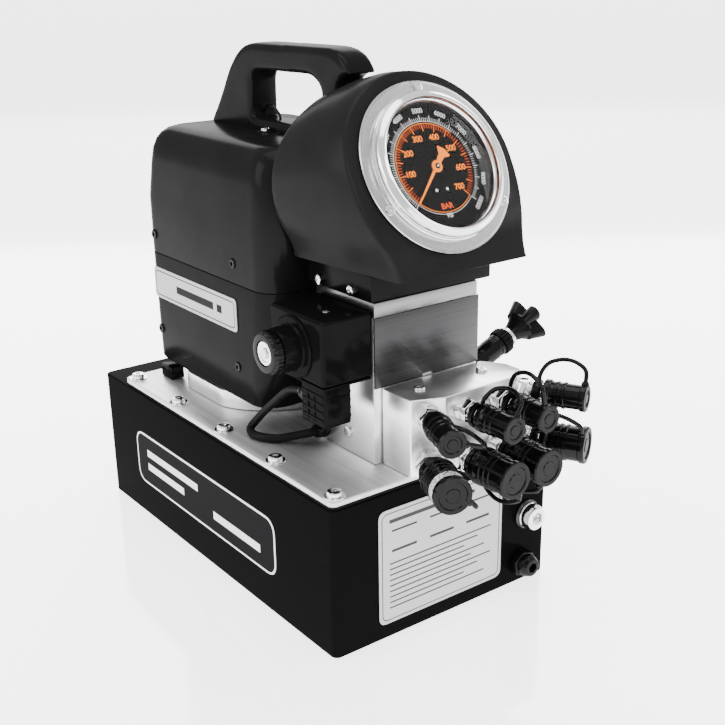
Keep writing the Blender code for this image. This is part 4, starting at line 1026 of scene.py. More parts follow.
class POWERUNIT_OT_dust_caps(bpy.types.Operator):
    """Make the eight rubber dust caps and their tethers"""
    bl_idname = "powerunit.dust_caps"
    bl_label = "Dust caps"

    # Bore, outer radius, radius of the neck under the tether's collar, and how far out the cap ends
    UPPER_ROW = (0.0069, 0.0095, 0.0075, 0.0555)
    LOWER_ROW = (0.0108, 0.0134, 0.0100, 0.0575)

    # Way round the port that each tether leaves by, in degrees, and how far out it bows
    TETHERS = {1: (100, 0.020), 2: (20, 0.016), 3: (-15, 0.021), 4: (10, 0.017),
               5: (120, 0.014), 6: (160, 0.011), 7: (-150, 0.011), 8: (-35, 0.016)}

    def execute(self, context):
        sizes = context.scene.powerunit_ports
        for number in range(1, 9):
            origin, axis = joint_line(f"dust_cap_{number}_pull")
            row = self.UPPER_ROW if number <= 4 else self.LOWER_ROW
            self.cap(number, origin, axis, row, sizes)
            self.tether(number, origin, axis, row, sizes)
        return {"FINISHED"}

    def cap(self, number, origin, axis, row, sizes):
        bore, outer, _, end = row
        rim, closing = outer + 0.0013, end - 0.0132
        ribs = (0.0310, 0.0365) if row is self.UPPER_ROW else (0.0300, 0.0350, 0.0400)
        profile = [(0, closing), (bore, closing), (bore, 0.0225), (rim - 0.0006, 0.0225), (rim, 0.0231),
                   (rim, 0.0268), (rim - 0.0008, 0.0276)]
        for start in ribs:
            profile += [(outer, start - 0.0012), (outer, start), (outer + 0.0008, start + 0.0006),
                        (outer + 0.0008, start + 0.0022), (outer, start + 0.0028)]
        profile += [(outer, end - 0.0052), (outer + 0.0010, end - 0.0044), (outer + 0.0011, end - 0.0012),
                    (outer + 0.0004, end - 0.0002), (outer - 0.0010, end), (outer - 0.0026, end - 0.0002),
                    (outer - 0.0032, end - 0.0011), (outer * 0.42, end - 0.0012), (outer * 0.38, end - 0.0006),
                    (0, end - 0.0005)]
        cap = turned("cap", profile, origin, axis, finish_of("rubber"), 44)
        parts = [cap, self.lug(origin, axis, row, number)]
        if number == 5:
            parts.append(self.band(origin, axis, outer, sizes))
        keep(joined(f"rubber_cap_{number}", parts), f"dust_cap_{number}", body=f"dust_cap_{number}", slot="rubber")

    def lug(self, origin, axis, row, number):
        """The small lug that the tether is moulded to."""
        _, outer, _, end = row
        side = port_side(axis, self.TETHERS[number][0])
        start = origin + axis * (end - 0.0028) + side * (outer - 0.001)
        return turned("lug", mm((0, 0), (3, 0), (3, 2.6), (2.4, 4), (0, 4.2)), start, side, finish_of("rubber"), 20)

    def band(self, origin, axis, outer, sizes):
        """A pale printed ring on one cap, broken by short gaps."""
        finish = Finish("printed_cap_band", tuple(sizes.band), 0.45)
        fleck = finish.ramp(finish.noise(0.0018, detail=4, roughness=0.6), (0.42, 0), (0.5, 1))
        finish.set({"Base Color": finish.mix(fleck, (0.012, 0.012, 0.012), tuple(sizes.band)),
                    "Roughness": 0.4 + fleck * 0.15})
        return turned("band", [(outer - 0.0004, 0.0438), (outer + 0.0003, 0.0440), (outer + 0.0003, 0.0505),
                               (outer - 0.0004, 0.0507)], origin, axis, finish.material, 44, ring=True)

    def tether(self, number, origin, axis, row, sizes):
        """A collar round the coupler's neck and the strap that bows out from it to the cap."""
        _, outer, neck, end = row
        angle, bow = self.TETHERS[number]
        side = port_side(axis, angle)
        along = port_side(axis, angle + 90)
        reach = outer + bow
        points = [(0.0170, neck + 0.0012, 0), (0.0180, neck + bow * 0.45, 0.001), (0.0230, reach * 0.86, 0.003),
                  (0.0330, reach, 0.0045), (0.0430, reach * 0.98, 0.0035), (end - 0.0040, reach * 0.80, 0.0015),
                  (end - 0.0026, outer + 0.0042, 0), (end - 0.0028, outer + 0.0018, 0)]
        route = [origin + axis * t + side * r + along * s for t, r, s in points]
        strap = tube("strap", route, sizes.tether, finish_of("rubber"), 5, 3)
        collar = turned("collar", [(neck + 0.0003, 0.0145), (neck + 0.0021, 0.0148), (neck + 0.0024, 0.0170),
                                   (neck + 0.0021, 0.0192), (neck + 0.0003, 0.0195)], origin, axis,
                        finish_of("rubber"), 36, ring=True)
        strap = joined(f"cap_tether_{number}", [strap, collar])
        tuple(origin + axis * 0.0200)
        tuple(origin + axis * (end - 0.008))
        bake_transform(strap)


# ------------------------------------------------------------------ motor and its cover

class POWERUNIT_OT_motor_cover(bpy.types.Operator):
    """Make the motor's flange and the two-part cover with its carry handle"""
    bl_idname = "powerunit.motor_cover"
    bl_label = "Motor cover"

    def execute(self, context):
        sizes = context.scene.powerunit_cover
        self.flange()
        self.lower(sizes)
        self.upper(sizes)
        self.fittings()
        return {"FINISHED"}

    def flange(self):
        a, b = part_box("motor_flange")
        origin = joint_line("motor_spin")[0]
        radius = (b.y - a.y) / 2
        outline = []
        for step in range(96):
            angle = 2 * pi * step / 96
            x = max(a.x - origin.x, min(b.x - origin.x, radius * cos(angle)))
            outline.append((origin.x + x, origin.y + radius * sin(angle), a.z))
        flange = slab("machined_motor_flange", outline, (0, 0, b.z - a.z), finish_of("block"), 0.0012, 2, angle=50)
        foot = block("foot", (a.x - 0.003, b.y - 0.026, a.z), (a.x + 0.010, b.y - 0.006, a.z + 0.012),
                     finish_of("bracket"), 0.001, 2)
        keep(joined("machined_motor_flange", [flange, foot]), "motor_flange", slot="machined")

    def lower(self, sizes):
        a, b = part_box("shroud_lower")
        rise = b.z - a.z
        levels = [(b.z, a.x, b.x, a.y, b.y), (b.z - rise * 0.62, a.x, b.x, a.y + 0.0082, b.y - 0.002),
                  (a.z + 0.0035, a.x, b.x, a.y + 0.0146, b.y - 0.0038),
                  (a.z, a.x + 0.0022, b.x - 0.0022, a.y + 0.0165, b.y - 0.006)]
        shell = tower("lower_cover", levels, 0.023, finish_of("cover"), 10)
        keep(smooth(self.opened(shell, sizes, b.z), 40), "shroud_lower", slot="cover_black")

    def opened(self, shell, sizes, rim):
        """Remove the face at the rim's height, thicken the wall inwards and round the lip."""
        with editing(shell):
            pick(shell, "faces", lambda middle, normal: abs(middle.z - rim) < 0.0002 and abs(normal.z) > 0.9)
            bpy.ops.mesh.delete(type="FACE")
        modify(shell, "SOLIDIFY", thickness=sizes.wall, offset=-1, use_even_offset=True)
        return soften(shell, 0.0009, 2, 50)

    def upper(self, sizes):
        a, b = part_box("shroud_upper")
        front, back = low("shroud_lower").y, high("shroud_lower").y
        # How far in the walls stand at each height, up to the flat top
        insets = [(a.z, 0), (a.z + 0.0495, 0)] + [(COVER_TOP - below, inset) for below, inset in (
            (0.030, 0.0030), (0.018, 0.0048), (0.0105, 0.0074), (0.0052, 0.0110), (0.0018, 0.0152), (0, 0.0205))]
        levels = [(z, a.x + i, b.x - i, front + i, back - i) for z, i in insets]
        shell = tower("upper_cover", levels, 0.023, finish_of("cover"), 10)
        shell = self.opened(shell, sizes, a.z)
        grip = self.handle(sizes, (a.x + b.x) / 2, front, back, COVER_TOP, b.z)
        keep(joined("upper_cover", [smooth(shell, 50), grip]), "shroud_upper", slot="cover_black")

    def handle(self, sizes, middle, front, back, base, top):
        """A solid bow with a hole for the hand, rounded all over by a fine remesh and smoothing."""
        half = 0.014
        back -= 0.006
        side = [(front + 0.016, base - 0.030), (front + 0.0010, base - 0.024), (front - 0.0004, base + 0.037),
                (front - 0.0020, base + 0.0475), (front - 0.0140, base + 0.0530), (front - 0.0200, top - 0.019),
                (front - 0.010, top - 0.0065), (front + 0.004, top - 0.0008), (front + 0.018, top - 0.0001),
                (back - 0.086, top - 0.001), (back - 0.070, top - 0.004), (back - 0.056, top - 0.013),
                (back - 0.044, top - 0.026), (back - 0.026, base + 0.018), (back - 0.009, base - 0.002),
                (back - 0.012, base - 0.016)]
        outline = [(middle - half, y, z) for y, z in rounded_corners([Vector(point) for point in side], 0.012, 5)]
        grip = slab("grip", outline, (2 * half, 0, 0), finish_of("cover"), 0)
        gap = [Vector(point) for point in ((front + 0.0185, base + 0.0085), (back - 0.0805, base + 0.0085),
                                           (back - 0.0825, base + 0.045), (back - 0.094, base + 0.0485),
                                           (front + 0.032, base + 0.0490), (front + 0.019, base + 0.041))]
        outline = [(middle - 0.03, y, z) for y, z in rounded_corners(gap, 0.008, 5)]
        carve(grip, slab("gap", outline, (0.06, 0, 0), finish_of("cover"), 0))
        modify(grip, "REMESH", mode="VOXEL", voxel_size=0.0018)
        modify(grip, "SMOOTH", factor=0.5, iterations=sizes.grip)
        dress(grip, "grip", finish_of("cover"))
        return smooth(grip, 80)

    def fittings(self):
        a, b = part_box("shroud_badge")
        half = ((b.y - a.y) / 2, (b.z - a.z) / 2)
        middle = (a.x, (a.y + b.y) / 2, (a.z + b.z) / 2)
        look = framed_badge("printed_cover_badge", middle, half, 0, (0.46, 0.46, 0.45), (0.02, 0.02, 0.02),
                            (0.0030, 0.0035, 0.0008),
                            [(-0.034, 0.030, -0.0030, 0.0035), (-0.048, -0.040, -0.003, 0.0035)])
        outline = [(b.x, middle[1] + y, middle[2] + z) for y, z in rounded_sheet(half, 0.004, 5)]
        keep(slab("printed_cover_badge", outline, (a.x - b.x, 0, 0), look, PLATE_EDGE, 1), "shroud_badge",
             slot="label_silver")
        self.screws()
        self.gland()
        self.top_screw_and_loop()

    def screws(self):
        a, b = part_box("shroud_lower")
        template = turned("cover_screw", mm((1.8, 0.4), (1.8, 1.1), (3.4, 1.3), (4.2, 0.8), (4.4, 0), (4.4, -1),
                                            (0, -1), (0, 0.4)), ORIGIN, UP, finish_of("rubber"), 24)
        spots = []
        for x, way in ((a.x, LEFT), (b.x, RIGHT)):
            for y in (FRONT + 0.174, FRONT + 0.309):
                spots += [((x, y, 0.264), way), ((x, y, 0.1765), way)]
        keep(screw_set("cover_screws", template, spots), slot="cover_black")

    def gland(self):
        centre = middle_at("mains_gland", high("shroud_lower").y)
        rubber = finish_of("rubber")
        nut = hex_prism("nut", 0.0176, -0.0015, 0.0050, centre, BACK, rubber, chamfer=0.0008)
        body = turned("boot", mm((0, -9.8), (5.9, -9.8), (5.9, 4.5), (8.2, 4.8), (8.4, 8), (7.4, 10.2), (6.8, 10.4),
                                 (6.8, 11.8), (6.4, 12), (6.4, 13.6), (6, 13.8), (6, 15.4), (5.6, 15.6), (5.6, 17.8),
                                 (4, 17.8), (3.8, 12), (0, 12)), centre, BACK, rubber, 36)
        keep(joined("mains_cord_gland", [body, nut]), "mains_gland", slot="rubber")

    def top_screw_and_loop(self):
        """A screw in a shallow well, and the wire hanging loop, beside the handle's foot."""
        x = SIDE + 0.0925
        screw = socket_screw("top_screw", (x, FRONT + 0.214, COVER_TOP - 0.0006), UP, 0.0042, 0.0040,
                             finish_of("bright"), 0.4, 0.5)
        well = turned("well", mm((4.6, 0.1), (7.8, 0.1), (7.8, 0.9), (7, 1.4), (5.4, 1.2), (4.6, 0.6)),
                      (x, FRONT + 0.214, COVER_TOP - 0.0004), UP, finish_of("cover"), 32, ring=True)
        hole = turned("hole", mm((0, 0.3), (2.6, 0.3), (3, 0.8), (3.6, 0.6), (3.8, -0.4), (0, -0.4)),
                      (x + 0.0005, FRONT + 0.198, COVER_TOP), UP, finish_of("gasket"), 24)
        keep(joined("cover_top_screw", [screw, well, hole]), slot="chrome")
        centre = SIDE + 0.1105
        base = COVER_TOP + 0.0080
        arch = [(centre - 0.0015, FRONT + 0.2415, base - 0.002), (centre - 0.0015, FRONT + 0.2410, base + 0.0055),
                (centre - 0.001, FRONT + 0.2365, base + 0.0098), (centre, FRONT + 0.2290, base + 0.0090),
                (centre + 0.001, FRONT + 0.2225, base + 0.0040), (centre + 0.0015, FRONT + 0.2205, base - 0.002)]
        keep(tube("wire_hanging_loop", arch, 0.0011, finish_of("rubber"), 8, 4), slot="bracket_black")


class POWERUNIT_OT_works(bpy.types.Operator):
    """Finish the working parts that the cover and the tank hide"""
    bl_idname = "powerunit.works"
    bl_label = "Motor and pump"

    def execute(self, context):
        nodes = frame["nodes"]
        looks = {"motor_stator": "casting", "motor_rotor": "steel", "pump_body": "casting", "cooling_fan": "bracket",
                 "valve_spool": "steel", "relief_spring_seat": "steel", "gauge_stem": "steel"}
        for node, look in looks.items():
            nodes[node].data.materials[0] = finish_of(look)
        nodes["suction_strainer"].data.materials[0] = strainer_gauze()
        return {"FINISHED"}


# ------------------------------------------------------------------ solenoid

COIL_WIDTH = 0.045              # the square coil, without its boss

# The lead's route between its glands: x from the middle, set back from the tank's front, height over the lid
CABLE_ROUTE = [
    (-0.0765, 0.1000, 0.0490), (-0.0775, 0.1180, 0.0350), (-0.0795, 0.1330, 0.0215), (-0.0825, 0.1420, 0.0112),
    (-0.0865, 0.1440, 0.0052), (-0.0890, 0.1370, 0.0038), (-0.0870, 0.1260, 0.0038), (-0.0790, 0.1150, 0.0040),
    (-0.0680, 0.1055, 0.0065),
]


def route_length(points):
    route = smooth_route(points, 7)
    return sum((after - before).length for before, after in zip(route, route[1:]))


class POWERUNIT_OT_solenoid(bpy.types.Operator):
    """Make the solenoid coil, its nut, plug, glands and cable"""
    bl_idname = "powerunit.solenoid"
    bl_label = "Solenoid"

    def execute(self, context):
        self.coil()
        self.tube_and_pin()
        self.plug()
        self.glands_and_cable()
        return {"FINISHED"}

    def coil(self):
        a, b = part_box("solenoid_coil")
        resin = finish_of("coil")
        left = b.x - COIL_WIDTH
        body = block("coil", (left, a.y, a.z + 0.002), b, resin, 0.0028, 4)
        lip = block("lip", (left + 0.0008, a.y + 0.0008, a.z), (b.x - 0.0008, b.y - 0.0008, a.z + 0.0016), resin,
                    0.0006, 2)
        origin = joint_line("override_press")[0]
        start = Vector((left, origin.y, origin.z))
        boss = turned("boss", mm((9.9, -30), (24, -4), (24, 1.2), (22.8, 2.4), (18.5, 2.6), (17.2, 3.8), (17, 15),
                                 (16.6, 17.2), (15.2, 17.9), (9.9, 18)), start, LEFT, resin, 56, ring=True)
        screw = socket_screw("coil_screw", (left + 0.018, a.y + 0.020, b.z), UP, 0.0026, 0.0010,
                             finish_of("bright"))
        keep(joined("solenoid_coil_body", [body, lip, boss, screw]), "solenoid_coil", slot="cover_black")

    def tube_and_pin(self):
        origin = joint_line("override_press")[0]
        start = Vector((high("coil_nut").x, origin.y, origin.z))
        nut = turned("nut", mm((9.8, 0), (16, 0), (16.5, 0.6), (16.5, 4.8), (15.7, 5.6), (14.6, 7.6), (13.6, 8),
                               (9.8, 7.9)), start, LEFT, finish_of("rubber"), 96, ring=True)
        knurl(nut, start, BACK, UP, 0.0150, (1, 0.955, 0.955))
        keep(smooth(nut, 50), "coil_nut", slot="bracket_black")
        mesh_low, mesh_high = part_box("armature_tube")
        tube_end = mesh_high.x - mesh_low.x
        outer = turned("bright_armature_tube", [
            (0.0072, 0), (0.0095, 0), (0.0095, tube_end - 0.0009), (0.0088, tube_end - 0.0002), (0.0078, tube_end),
            (0.0066, tube_end - 0.0002), (0.0060, tube_end - 0.0010), (0.0042, tube_end - 0.0012),
            (0.0042, tube_end - 0.004), (0.0072, tube_end - 0.0041)],
            (mesh_high.x, origin.y, origin.z), LEFT, finish_of("bright"), 48, ring=True)
        keep(outer, "armature_tube", slot="chrome")
        frame["nodes"]["override_pin"].data.materials[0] = finish_of("steel")

    def plug(self):
        a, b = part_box("din_connector")
        resin = finish_of("coil")
        parts = [block("plug", (a.x + 0.0008, a.y + 0.0008, a.z), (b.x - 0.0008, b.y - 0.0008, b.z), resin,
                       0.0022, 4)]
        for number in range(4):
            z = a.z + 0.0045 + number * 0.0062
            parts.append(block("rib", (a.x, a.y + 0.002, z), (b.x, b.y - 0.002, z + 0.0030), resin, 0.0010, 2))
        parts.append(block("front_rib", (a.x + 0.002, a.y, a.z + 0.003), (b.x - 0.002, a.y + 0.004, a.z + 0.024),
                           resin, 0.0008, 2))
        for y in (a.y + 0.013, a.y + 0.021):
            parts.append(block("side_rib", (a.x - 0.0002, y, a.z + 0.0035),
                               (a.x + 0.004, y + 0.0016, b.z - 0.006), resin, 0.0005, 2))
        parts.append(block("gasket", (a.x + 0.001, a.y + 0.001, b.z - 0.0016),
                           (b.x - 0.001, b.y - 0.001, b.z + 0.0001), finish_of("gasket"), 0.0003, 1))
        middle = ((a.x + b.x) / 2, (a.y + b.y) / 2, a.z)
        parts.append(socket_screw("screw", middle, (0, 0, -1), 0.0030, 0.0016, finish_of("bright")))
        keep(joined("ribbed_plug", parts), "din_connector", slot="cover_black")

    def glands_and_cable(self):
        start = middle_at("connector_gland", low("connector_gland").y)
        keep(joined("plug_gland", self.gland(start, BACK)), "connector_gland", slot="bracket_black")
        c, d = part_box("block_gland")
        end = Vector((d.x, (c.y + d.y) / 2, (c.z + d.z) / 2))
        keep(joined("block_side_gland", self.gland(end, LEFT)), "block_gland", slot="bracket_black")
        leave, arrive = start + Vector((0, 0.0133, 0)), end - Vector((0.0133, 0, 0))
        route = [start + Vector((0, 0.0045, 0)), leave]
        route += [Vector((x, FRONT + y, LID_TOP + z)) for x, y, z in CABLE_ROUTE]
        route += [arrive, end - Vector((0.0045, 0, 0))]
        cable = tube("solenoid_lead", route, 0.0033, finish_of("cable"), 7, 6)
        keep(cable, "solenoid_cable", slot="rubber")
        route_length(route)
        [tuple(point) for point in smooth_route(route, 7)]

    def gland(self, start, way):
        """A small hexagonal gland with a stepped cone."""
        rubber = finish_of("rubber")
        nut = hex_prism("nut", 0.0118, 0.0002, 0.0050, start, way, rubber, chamfer=0.0007)
        cone = turned("cone", mm((3.6, 4.6), (5.6, 4.6), (6, 5.4), (6, 7.8), (5.4, 8.6), (5, 10.9), (3.6, 11)),
                      start, way, rubber, 36, ring=True)
        return [nut, cone]


# ------------------------------------------------------------------ gauge

TILT = radians(28.4)
DIAL_AT, DIAL_OUT = joint_line("gauge_pointer_swing")
DIAL_UP = Vector((0, sin(TILT), cos(TILT)))
ZERO_ANGLE, SWEEP = radians(225), radians(270)
FACE_HEIGHT = -0.0005           # the dial's face, from the pointer's pivot


def on_dial(piece):
    """Move a piece made flat about the world's Z onto the gauge: X across, Y up the dial, Z out."""
    turn = Matrix((Vector((1, 0, 0)), DIAL_UP, DIAL_OUT)).transposed().to_4x4()
    piece.matrix_world = Matrix.Translation(DIAL_AT) @ turn
    return apply_place(piece)


def arch(middle, tilt, half_width, rise, floor, steps=40):
    """A round-topped outline standing on a level floor, in a plane leaning back by tilt."""
    skirt = ((1.0, 0.79), (0.965, 0.7915), (0.93, 0.795), (0.84, 0.815), (0.72, 0.855), (0.58, 0.912), (0.42, 0.960),
             (0.25, 0.990), (0.12, 0.999))
    up = Vector((0, sin(tilt), cos(tilt)))
    foot = (floor - middle.z) / cos(tilt)
    side = [(half_width * across, foot * down) for down, across in skirt]
    top = [(half_width * cos(pi * i / steps), rise * sin(pi * i / steps)) for i in range(steps + 1)]
    outline = side + top + [(-across, height) for across, height in reversed(side)]
    return [middle + Vector((across, 0, 0)) + up * height for across, height in outline]


class POWERUNIT_OT_gauge_housing(bpy.types.Operator):
    """Make the gauge's bracket and its tilted housing"""
    bl_idname = "powerunit.gauge_housing"
    bl_label = "Gauge housing"

    def execute(self, context):
        self.bracket()
        self.housing()
        return {"FINISHED"}

    def bracket(self):
        a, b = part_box("gauge_bracket")
        body = block("bracket", a, b, finish_of("bracket"), 0.0012, 3)
        template = socket_screw("bracket_screw", ORIGIN, UP, 0.0042, 0.0034, finish_of("bright"), 0.38, 0.6)
        spots = [((x, FRONT + y, a.z + 0.0052), way)
                 for x, way in ((a.x, LEFT), (b.x, RIGHT)) for y in (0.055, 0.096)]
        keep(screw_set("bracket_screws", template, spots), slot="chrome")
        keep(body, "gauge_bracket", slot="bracket_black")

    def housing(self):
        base = low("gauge_housing").z
        back = DIAL_AT + Vector((-0.0062, 0.0828, -0.013))
        front_width, back_width, front_rise, back_rise = 0.0765, 0.084, 0.075, 0.066
        loops = []
        # From the dial (0) to the back (1), and how far the skin stands out there
        for share, swell in ((0.0, -0.0022), (0.012, -0.0006), (0.035, 0.0), (0.30, 0.0004), (0.62, 0.0004),
                             (0.93, 0.0), (0.98, -0.0008), (1.0, -0.0026)):
            middle = DIAL_AT.lerp(back, share) - DIAL_OUT * 0.0003 * (1 - share)
            tilt = TILT * (1 - share)
            floor = base if 0.03 < share < 0.95 else base - swell * 0.4
            width = front_width + (back_width - front_width) * share + swell
            rise = front_rise + (back_rise - front_rise) * share + swell
            loops.append(arch(middle, tilt, width, rise, floor))
        shell = bridged("grained_gauge_housing", loops, finish_of("housing"), angle=45)
        eye = turned("eye", mm((0, -12), (51.5, -12), (51.5, 4), (0, 4)), DIAL_AT, DIAL_OUT, finish_of("housing"), 72)
        carve(shell, eye)
        keep(smooth(shell, 40), "gauge_housing", slot="housing_grey")


class POWERUNIT_OT_gauge(bpy.types.Operator):
    """Make the pressure gauge: flange, bezel, lens, dial, scales and pointer"""
    bl_idname = "powerunit.gauge"
    bl_label = "Pressure gauge"

    def execute(self, context):
        sizes = context.scene.powerunit_gauge
        self.flange()
        self.bezel_and_lens()
        self.dial(sizes)
        self.pointer(sizes)
        return {"FINISHED"}

    def flange(self):
        plate = turned("flange", mm((48.5, 0.5), (63.6, 0.3), (65, 0.4), (65.8, 1.2), (66, 2.2), (65.5, 3),
                                    (64.6, 3.1), (64, 2.6), (56, 2.7), (48.5, 2.7)), DIAL_AT, DIAL_OUT,
                       self.spun_metal(), 128, ring=True, angle=22)
        drum = turned("drum", mm((0, -36), (48, -36), (50.3, -33.5), (50.3, 0.6), (48.4, 0.6), (48.4, -33), (0, -34)),
                      DIAL_AT, DIAL_OUT, finish_of("dark_steel"), 96)
        keep(joined("spun_gauge_flange", [plate, drum]), "gauge_case", slot="steel")
        template = socket_screw("flange_screw", ORIGIN, UP, 0.0039, 0.0026, finish_of("bright"), 0.42, 0.6)
        for number, angle in enumerate((86, 206, 326), 1):
            way = Vector((cos(radians(angle)), 0, 0)) + DIAL_UP * sin(radians(angle))
            turn = UP.rotation_difference(DIAL_OUT).to_matrix().to_4x4()
            spot = DIAL_AT + way * 0.0605 + DIAL_OUT * 0.0027
            screw = copy_of(template, f"gauge_flange_screw_{number}", Matrix.Translation(spot) @ turn)
            keep(screw, f"flange_screw_{number}", slot="chrome")
        bpy.data.objects.remove(template)

    def spun_metal(self):
        """Metal spun on a lathe: fine rings about the gauge's axis and a soft sweep of shine."""
        finish = Finish("spun_flange", (0.74, 0.74, 0.75), 0.2, 1.0)
        shifted = finish.place(shift=tuple(-DIAL_AT))
        across, upward = (finish.node("ShaderNodeVectorMath", {"operation": "DOT_PRODUCT"},
                                      {0: shifted, 1: tuple(way)}, 1) for way in (RIGHT, DIAL_UP))
        radius = (across * across + upward * upward).math("SQRT")
        where = finish.node("ShaderNodeCombineXYZ", sockets={"X": radius * 4000})
        rings = finish.node("ShaderNodeTexNoise", {"noise_dimensions": "3D"},
                            {"Vector": where, "Scale": 1.0, "Detail": 4})
        smear = finish.noise(0.006, detail=5, seed=4)
        finish.set({
            "Base Color": finish.mix(smear * 0.5 + rings * 0.2, (0.56, 0.56, 0.57), (0.26, 0.26, 0.265)),
            "Roughness": 0.13 + rings * 0.12 + smear * 0.12,
            "Normal": finish.bump(rings, 0.00004, 0.5),
        })
        return finish.material

    def bezel_and_lens(self):
        bezel = turned("stepped_bezel", mm((47.6, 2.9), (56.6, 2.8), (57, 3.6), (57, 5.2), (56.4, 5.9), (55.6, 6.1),
                                           (55.6, 8.6), (55.1, 9.6), (54.1, 10.1), (52.4, 11.8), (51.2, 12.4),
                                           (50, 12.2), (49.4, 11.2), (49.2, 8.8), (48.4, 8), (48, 6.8), (47.6, 6)),
                       DIAL_AT, DIAL_OUT, finish_of("bright"), 128, ring=True, angle=28)
        liner = turned("liner", mm((47.4, -0.5), (47.8, -0.5), (47.8, 6.4), (47.4, 6.4)), DIAL_AT, DIAL_OUT,
                       finish_of("gasket"), 96, ring=True)
        keep(joined("stepped_bezel", [bezel, liner]), "gauge_bezel", slot="chrome")
        lens = turned("domed_lens", mm((0, 6.6), (47.2, 6.6), (47.8, 7), (47.8, 8), (47, 8.4), (30, 9), (15, 9.2),
                                       (0, 9.3)), DIAL_AT, DIAL_OUT, self.glass(), 96)
        keep(smooth(lens, 60), "gauge_lens", slot="lens")

    def glass(self):
        """Clear glass, by transparency, with a faint smear that only shows in reflections."""
        finish = Finish("clear_lens", (0.9, 0.9, 0.9), 0.03, 1.0)
        smear = finish.noise(0.02, detail=4)
        finish.set({"Alpha": 0.014, "Roughness": 0.02 + smear * 0.05})
        finish.material.surface_render_method = "BLENDED"
        return finish.material

    def ink(self, name, colour):
        """Screen-printed ink: slight mottling and a faint painted glow, emitted by the ink itself."""
        finish = Finish(name, colour, 0.5, shine=0.3)
        mottle = finish.noise(0.0012, detail=4, roughness=0.6)
        shade = finish.mix(mottle * 0.5, colour, tuple(c * 0.7 for c in colour))
        finish.set({"Base Color": shade, "Emission Color": shade, "Roughness": 0.45 + mottle * 0.1})
        # Painted glow: the ink emits a little light of its own, though it is no lamp.
        finish.shader.inputs["Emission Strength"].default_value = 0.12
        return finish.material

    def dial(self, sizes):
        height = FACE_HEIGHT
        warm = self.ink("orange_dial_ink", tuple(sizes.warm))
        red = self.ink("red_dial_ink", tuple(sizes.red))
        white = self.ink("white_dial_ink", (0.72, 0.72, 0.72))
        face = Finish("matt_dial_face", (0.002, 0.002, 0.002), 0.55, shine=0.5)
        grain = face.noise(0.0008, detail=4)
        face.set({"Roughness": 0.5 + grain * 0.15,
                  "Base Color": face.mix(grain, (0.0018, 0.0018, 0.0018), (0.0024, 0.0024, 0.0024))})
        rim = mm((1.6, -0.9), (47, -0.9), (47.4, -0.6), (47.4, 0), (1.6, 0))
        disc = turned("matt_dial", raised(height, rim), DIAL_AT, DIAL_OUT, face.material, 96, ring=True)
        parts = [disc]
        parts += self.arcs(height, [(0.0340, 0.00025, warm), (0.0356, 0.00018, white)])
        parts += self.ticks(height, 70, 0.0302, 0.0337, 0.00045, red)
        parts += self.ticks(height, 14, 0.0280, 0.0338, 0.0007, warm)
        parts += self.ticks(height, 100, 0.0358, 0.0386, 0.00034, white)
        parts += self.ticks(height, 20, 0.0358, 0.0402, 0.0006, white)
        parts += self.dots(height, white)
        keep(joined("printed_dial", parts), "gauge_dial", slot="dial_black")
        self.numerals(sizes, height, warm, white)

    def arcs(self, height, rings):
        """Thin printed arcs over the sweep."""
        made = []
        for radius, half, ink in rings:
            piece = single_vertex(Vector((radius - half, 0, height + 0.00006)))
            trace([Vector((radius - half, 0, 0)), Vector((radius + half, 0, 0))])
            bpy.ops.mesh.select_all(action="SELECT")
            bpy.ops.mesh.spin(steps=108, angle=SWEEP, center=(0, 0, 0), axis=(0, 0, 1))
            bpy.ops.object.mode_set(mode="OBJECT")
            piece.rotation_euler = (0, 0, ZERO_ANGLE - SWEEP)
            apply_place(piece)
            self.face_up(piece)
            made.append(on_dial(dress(piece, "arc", ink)))
        return made

    def face_up(self, piece):
        """Turn flat ink so that it faces out of the dial."""
        with editing(piece):
            bpy.ops.mesh.select_all(action="SELECT")
            bpy.ops.mesh.normals_make_consistent(inside=False)
        if piece.data.polygons[0].normal.z < 0:
            with editing(piece):
                bpy.ops.mesh.flip_normals()

    def ticks(self, height, count, inner, outer, width, ink):
        """Evenly spaced strokes over the sweep, as one mesh."""
        start_clean()
        bpy.ops.mesh.primitive_plane_add(size=1, location=((inner + outer) / 2, 0, height + 0.00009))
        stroke = bpy.context.object
        stroke.scale = (outer - inner, width, 1)
        apply_place(stroke)
        dress(stroke, "tick", ink)
        strokes = []
        for number in range(count + 1):
            angle = ZERO_ANGLE - SWEEP * number / count
            strokes.append(copy_of(stroke, "tick", Matrix.Rotation(angle, 4, "Z")))
        bpy.data.objects.remove(stroke)
        return [on_dial(joined("ticks", strokes))]

    def dots(self, height, ink):
        made = []
        for x in (-0.0050, 0.0050):
            start_clean()
            bpy.ops.mesh.primitive_cylinder_add(vertices=20, radius=0.0012, depth=0.0003,
                                                location=(x, -0.0170, height + 0.00016))
            dot = apply_place(bpy.context.object)
            soften(dot, 0.0001, 2)
            made.append(on_dial(dress(smooth(dot), "dot", ink)))
        return made

    def numerals(self, sizes, height, warm, white):
        """Round figures at even steps on both scales, and the two units."""
        words = []
        for number in range(1, 8):
            angle = ZERO_ANGLE - SWEEP * number / 7
            words.append(self.word(str(sizes.top_bar * number // 7), 0.0238, angle, 0.0064, height, warm, 0))
        for number in range(1, 11):
            angle = ZERO_ANGLE - SWEEP * number / 10
            text = str(sizes.top_psi * number // 10)
            words.append(self.word(text, 0.0436, angle, 0.0052, height, white, angle - pi / 2))
        words.append(self.word("BAR", 0.0296, -pi / 2, 0.0062, height, self.ink("unit_ink", tuple(sizes.red)), 0))
        words.append(self.word("PSI", 0.0368, -pi / 2, 0.0046, height, white, 0))
        keep(joined("dial_numerals", words), slot="dial_black")

